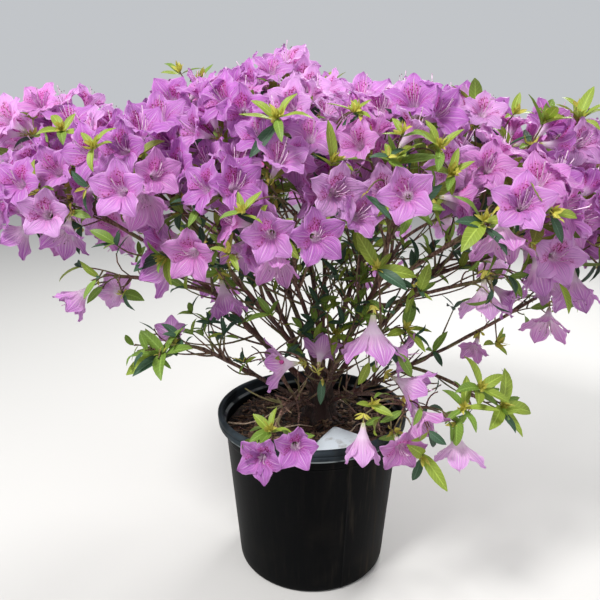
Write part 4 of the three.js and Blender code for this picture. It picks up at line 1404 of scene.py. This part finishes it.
stamen_sets = [make_stamens() for _ in range(STAMEN_SETS)]
stamen_colours = {"stamen_threads": THREAD_COLOUR, "anthers": ANTHER_COLOUR}
for name, colour in stamen_colours.items():
    heap = Heap()
    for i, (tip, axis, roll, size, kind, tint) in enumerate(blossoms):
        for rings in stamen_sets[i % STAMEN_SETS][name]:
            heap.add_rings(size * rings @ facing(axis, roll) + (tip + PEDICEL_LENGTH * axis))
    stamens = heap.piece(name, mottled(name, 300, toned(colour, 0.6), colour, 0.5))
    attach(stamens, "root")

# A green stalk with a small five-sided cup holds each blossom, and a few buds among the leaves are
# still rolled up tight, in a deeper pink than they open to.
STALK_RADIUS = 0.95
STALK_SIDES = 5
CUP_LENGTH = 4.5
STALK_COLOUR = (0.30, 0.36, 0.10, 1)
STALK_SHADE = (0.36, 0.22, 0.12, 1)
BUD_SHARE = 0.03
BUD_LENGTH = (18, 32)
BUD_THICKNESS = 0.12
BUD_RINGS = 8
BUD_SIDES = 8
BUD_CLEARANCE = 24
BUD_COLOUR = (0.42, 0.035, 0.20, 1)
BUD_TIP_COLOUR = (0.58, 0.10, 0.36, 1)

stalk_heap = Heap()
for tip, axis, roll, size, kind, tint in blossoms:
    foot = tip + PEDICEL_LENGTH * axis
    line = np.linspace(tip - 1.5 * axis, foot, 4)
    stalk_heap.add_rings(tube(line, [0.8, STALK_RADIUS, STALK_RADIUS, 1.1], STALK_SIDES))
    cup = foot + np.array([[-1.2], [0.4], [CUP_LENGTH]]) * axis
    stalk_heap.add_rings(tube(cup, [0.9, 2.5, 3.2], STALK_SIDES))
green_stalk = mottled("green_stalk", 240, STALK_COLOUR, STALK_SHADE, 0.6, 0.4, 0.62)
stalks = stalk_heap.piece("blossom_stalks", green_stalk)
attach(stalks, "root")

bud_heap = Heap()
leafy_tips = []
for bearer in tips:
    tip, end, turn = bearer["at"], bearer["end"], bearer["turn"]
    if not bearer["blooms"]:
        leafy_tips.append((tip, end, turn, bearer["is_shoot"], bearer["is_low"], bearer["is_sparse"]))
    if bearer["blooms"] and not bearer["is_shoot"] or blossom_random.random() > BUD_SHARE:
        continue
    axis = leaning(end, blossom_random.uniform(0.1, 0.5), turn)
    length = blossom_random.uniform(*BUD_LENGTH)
    if distances(mouths, tip + length * axis).min() < BUD_CLEARANCE:
        continue
    share = np.linspace(0, 1, BUD_RINGS)
    radii = BUD_THICKNESS * length * np.sin(np.pi * share**0.72) ** 0.8 + 0.5
    bud_heap.add_rings(tube(tip + np.outer(share * length, axis), radii, BUD_SIDES))
buds = bud_heap.piece("buds", mottled("bud_skin", 120, BUD_COLOUR, BUD_TIP_COLOUR, 0.5))
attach(buds, "root")

# Leaves are narrow blades that fold a little on the midrib and arch over. New ones stand in whorls
# under the blossoms, last year's are darker and fewer, and small yellow scales ring each truss.
LEAF_ROWS = 7
LEAF_COLUMNS = 5
SCALE_ROWS = 4
SCALE_COLUMNS = 3
LEAF_HALF_WIDTH = (0.125, 0.19)
LEAF_SHAPES = 8
LEAF_CLEARANCE = 17
LEAF_POT_CLEARANCE = 3
THROAT_SHARE = 0.6
THROAT_CLEARANCE = 9
LEAF_TRIES = 3
YOUNG_LENGTH = (28, 50)
LEADER_LEAF_LENGTH = (30, 50)
LOW_LEAF_LENGTH = (32, 54)
OLD_LENGTH = (20, 38)
LEAF_PROUD = 6
LEAF_SHEEN = 0.4
LEAF_TRANSLUCENCY = 0.3
SCALE_LENGTH = (9, 18)
LEAST_LEAFY_HEIGHT = 350
LEAF_COLOURS = {
    "young": (0.285, 0.385, 0.045, 1),
    "grown": (0.19, 0.31, 0.045, 1),
    "old": (0.048, 0.110, 0.058, 1),
    "scale": (0.60, 0.56, 0.10, 1),
}

# The shares of young, grown and old leaves in each kind of whorl
AGES = ("young", "grown", "old")
SHADES = {
    "bright": (0.8, 0.2, 0),
    "dull": (0.15, 0.5, 0.35),
    "dark": (0, 0, 1),
    "leader": (0.85, 0.1, 0.05),
    "truss": (0.4, 0.35, 0.25),
    "leafy": (0.45, 0.3, 0.25),
    "inner": (0.15, 0.4, 0.45),
}

# How far the leaves of each kind of whorl lean off their twig, and how far the scales at its foot do
LEAF_LEANS = {
    "leader": (0.45, 1.25),
    "lone": (0.9, 1.5),
    "truss": (0.8, 1.5),
    "leafy": (0.35, 1.3),
    "inner": (0.5, 1.3),
}
SCALE_LEANS = {"leader": (0.1, 1), "lone": (0.1, 0.9), "truss": (0.5, 1.2), "leafy": (0.2, 1)}
leaf_random = np.random.default_rng(59)


def make_leaf(rows, columns):
    """A leaf of unit length that leaves its foot along +Y, with its face to +Z."""
    s = np.linspace(0, 1, rows)[:, None]
    t = np.linspace(-1, 1, columns)
    width = leaf_random.uniform(*LEAF_HALF_WIDTH) * np.maximum(np.sin(math.pi * s**0.85) ** 0.72, 0.07)
    x = width * t
    arch = leaf_random.uniform(0.1, 0.34)
    fold = leaf_random.uniform(0.25, 0.6)
    wave = leaf_random.uniform(0.0, 0.02) * np.sin(9 * s + leaf_random.uniform(0, 6)) * t**2
    z = 0.12 * s - arch * s**2 + fold * np.abs(x) + wave
    bend = leaf_random.uniform(-0.08, 0.08) * s**2
    points = np.stack([x + bend, s * (1 - 0.4 * arch * s**2) + 0 * t, z + 0 * x], axis=-1)
    marks = np.stack([np.broadcast_to((t + 1) / 2, x.shape), np.broadcast_to(s, x.shape)], axis=-1)
    return points.reshape(-1, 3), marks.reshape(-1, 2)


leaf_shapes = [make_leaf(LEAF_ROWS, LEAF_COLUMNS) for _ in range(LEAF_SHAPES)]
scale_shapes = [make_leaf(SCALE_ROWS, SCALE_COLUMNS) for _ in range(LEAF_SHAPES)]
scale_net = net(SCALE_ROWS, SCALE_COLUMNS, closed=False)
leaf_net = net(LEAF_ROWS, LEAF_COLUMNS, closed=False)
leaf_heaps = {age: Heap() for age in LEAF_COLOURS}
throats = np.array([tip + THROAT_SHARE * BLOSSOM_REACH * axis for tip, axis, *_ in blossoms])


def add_leaf(foot, axis, length, age, face):
    """A leaf that shows its face as far as its direction allows, where it blocks no blossom."""
    for share in (0.35, 0.65, 1):
        point = foot + share * length * axis
        if distances(mouths, point).min() < LEAF_CLEARANCE:
            return False
        if distances(throats, point).min() < THROAT_CLEARANCE:
            return False
        is_out = (point < box_low - LEAF_PROUD).any() or (point > box_high + LEAF_PROUD).any()
        if is_out or distance_to_pot(point) < LEAF_POT_CLEARANCE:
            return False
    side = square_to(axis, face)
    side = unit(side + leaf_random.uniform(-0.35, 0.35) * np.cross(side, axis))
    points, marks = leaf_shapes[leaf_random.integers(LEAF_SHAPES)]
    placed = length * points @ np.array([side, axis, np.cross(side, axis)]) + foot
    leaf_heaps[age].add(placed, leaf_net, marks)
    return True


def add_whorl(tip, end, turn, count, lean, lengths, shares):
    """A whorl of leaves that face up their twig, round its tip. Each with no room tries another turn."""
    for k in range(count):
        length = leaf_random.uniform(*lengths)
        age = leaf_random.choice(AGES, p=shares)
        foot = tip - leaf_random.uniform(0, 7) * end
        for attempt in range(LEAF_TRIES):
            axis = leaning(end, leaf_random.uniform(*lean), turn + (k + 0.35 * attempt) * GOLDEN_ANGLE)
            if add_leaf(foot, axis, length, age, unit(end + 0.6 * UP)):
                break


def add_scales(foot, end, turn, count, lean):
    """A burst of small yellow scales, from which a truss or a leader has grown."""
    for k in range(count):
        axis = leaning(end, leaf_random.uniform(*lean), turn + k * GOLDEN_ANGLE)
        points, marks = scale_shapes[k % LEAF_SHAPES]
        length = leaf_random.uniform(*SCALE_LENGTH)
        leaf_heaps["scale"].add(length * points @ facing(axis, k)[[0, 2, 1]] + foot, scale_net, marks)


for tip, end, turn in leaders:
    leaf_count = leaf_random.integers(4, 7)
    add_whorl(tip, end, turn, leaf_count, LEAF_LEANS["leader"], LEADER_LEAF_LENGTH, SHADES["leader"])
    add_scales(tip - end, end, turn, 14, SCALE_LEANS["leader"])
for tip, end, turn, leaf_count, lengths, shade in lone_whorls:
    add_whorl(tip, end, turn, leaf_count, LEAF_LEANS["lone"], lengths, SHADES[shade])
    add_scales(tip - end, end, turn, 3 * leaf_count if shade == "bright" else 2, SCALE_LEANS["lone"])
for tip, end, turn, leaf_count in truss_tips:
    add_whorl(tip, end, turn, leaf_count, LEAF_LEANS["truss"], YOUNG_LENGTH, SHADES["truss"])
    add_scales(tip - 2 * end, end, turn, 6, SCALE_LEANS["truss"])
for tip, end, turn, is_shoot, is_low, is_sparse in leafy_tips:
    if is_sparse:
        leaf_count = leaf_random.integers(1, 4) if is_shoot else leaf_random.integers(0, 2)
        add_whorl(tip, end, turn, leaf_count, LEAF_LEANS["leafy"], OLD_LENGTH, SHADES["dull"])
        continue
    leaf_count = leaf_random.integers(4, 7) if is_shoot else leaf_random.integers(2, 5)
    lengths = LOW_LEAF_LENGTH if is_low else YOUNG_LENGTH
    add_whorl(tip, end, turn, leaf_count, LEAF_LEANS["leafy"], lengths, SHADES["leafy"])
    if is_shoot:
        add_scales(tip - end, end, turn, 8, SCALE_LEANS["leafy"])
for tip, end, turn in inner_tips:
    if tip[2] > LEAST_LEAFY_HEIGHT:
        leaf_count = leaf_random.integers(3, 6)
        add_whorl(tip, end, turn, leaf_count, LEAF_LEANS["inner"], OLD_LENGTH, SHADES["inner"])

for age, leaf_colour in LEAF_COLOURS.items():
    leaf_skin, spot = start_material("leaf_" + age)
    mark_x, mark_y, _ = spot.node("UVMap", {"uv_map": "OFBake"}, {}).axes()
    from_middle = (mark_x * 2 - 1).math("ABSOLUTE")
    side_veins = ((mark_y * 9 - from_middle * 1.6) * (2 * math.pi)).math("COSINE").ramp(0.75, 1)
    pale = (*(1.5 * value + 0.03 for value in leaf_colour[:3]), 1)
    blade = mark_y.ramp(0.0, 0.8).mixed(leaf_colour, toned(leaf_colour, 0.8))
    blade = (side_veins * 0.35 + from_middle.ramp(0.14, 0.04) * 0.7).mixed(blade, pale)
    grooves = (side_veins + from_middle.ramp(0.16, 0.0) * 1.5).bump(0.4, 0.0006)
    feed_shader(
        leaf_skin,
        {
            "Base Color": blade,
            "Roughness": 0.5,
            "Specular IOR Level": LEAF_SHEEN,
            "Normal": grooves,
        },
    )
    let_light_through(leaf_skin, LEAF_TRANSLUCENCY, blade, grooves)
    leaves = leaf_heaps[age].piece("bud_scales" if age == "scale" else "leaves_" + age, leaf_skin)
    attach(leaves, "root")
    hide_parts(*mass_nodes)

# The plant stands on a plain pale floor, whose far edge the crown hides from the camera. A key light
# from the left, a weak fill from the right and a rim light from behind shape the crown.
FLOOR_SIDE = 40
FLOOR_COLOUR = (0.52, 0.51, 0.49, 1)
WORLD_COLOUR = (0.90, 0.93, 0.97, 1)
WORLD_STRENGTH = 0.6
half = FLOOR_SIDE / 2
floor_corners = [(-half, -half, 0), (half, -half, 0), (half, half, 0), (-half, half, 0)]
floor_mesh = bpy.data.meshes.new("floor")
floor_mesh.from_pydata(floor_corners, [], [(0, 1, 2, 3)])
floor = stand("floor", floor_mesh)
floor_paint, spot = start_material("floor_paint")
feed_shader(floor_paint, {"Base Color": FLOOR_COLOUR, "Roughness": 0.8})
floor_mesh.materials.append(floor_paint)
floor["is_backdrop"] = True

bpy.context.scene.view_settings.view_transform = "Standard"
world = bpy.data.worlds.new("studio")
world.use_nodes = True
world.node_tree.nodes["Background"].inputs["Color"].default_value = WORLD_COLOUR
world.node_tree.nodes["Background"].inputs["Strength"].default_value = WORLD_STRENGTH
bpy.context.scene.world = world

# Each light: its place in metres, its side in metres and its power in watts
LIGHTS = {
    "key": ((-1.1, -1.3, 2.5), 0.6, 94),
    "fill": ((1.9, -1.5, 1.1), 1.6, 16),
    "rim": ((0.9, 1.7, 2.1), 0.9, 60),
}
PLANT_MIDDLE = np.array([0, 0, 0.45])


def aim(light, from_place, at_place):
    """Puts a light at one place and turns it towards another."""
    x, y, z = at_place - from_place
    light.rotation_euler = (math.pi / 2 + math.atan2(z, math.hypot(x, y)), 0, math.atan2(-x, y))
    light.location = from_place


for name, (light_place, side, power) in LIGHTS.items():
    lamp = bpy.data.lights.new(name, "AREA")
    lamp.size = side
    lamp.energy = power
    aim(stand(name, lamp), np.array(light_place), PLANT_MIDDLE)

# The camera stands where the photograph was taken from: close in front of the crown, a little below
# its top, and looking down. Its place is in metres and its turns are in degrees.
CAMERA_PLACE = (0, -0.827, 0.628)
CAMERA_DOWN = 15.2
CAMERA_TURN = 1.23
LENS_LENGTH = 36
SENSOR_WIDTH = 36
camera_lens = bpy.data.cameras.new("camera")
camera_lens.lens = LENS_LENGTH
camera_lens.sensor_width = SENSOR_WIDTH
camera = stand("camera", camera_lens)
camera.location = CAMERA_PLACE
camera.rotation_euler = (math.radians(90 - CAMERA_DOWN), 0, math.radians(CAMERA_TURN))
bpy.context.scene.camera = camera

sizes = {"cad": [list(corner) for corner in cad_box], "visual": [list(corner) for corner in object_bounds()]}
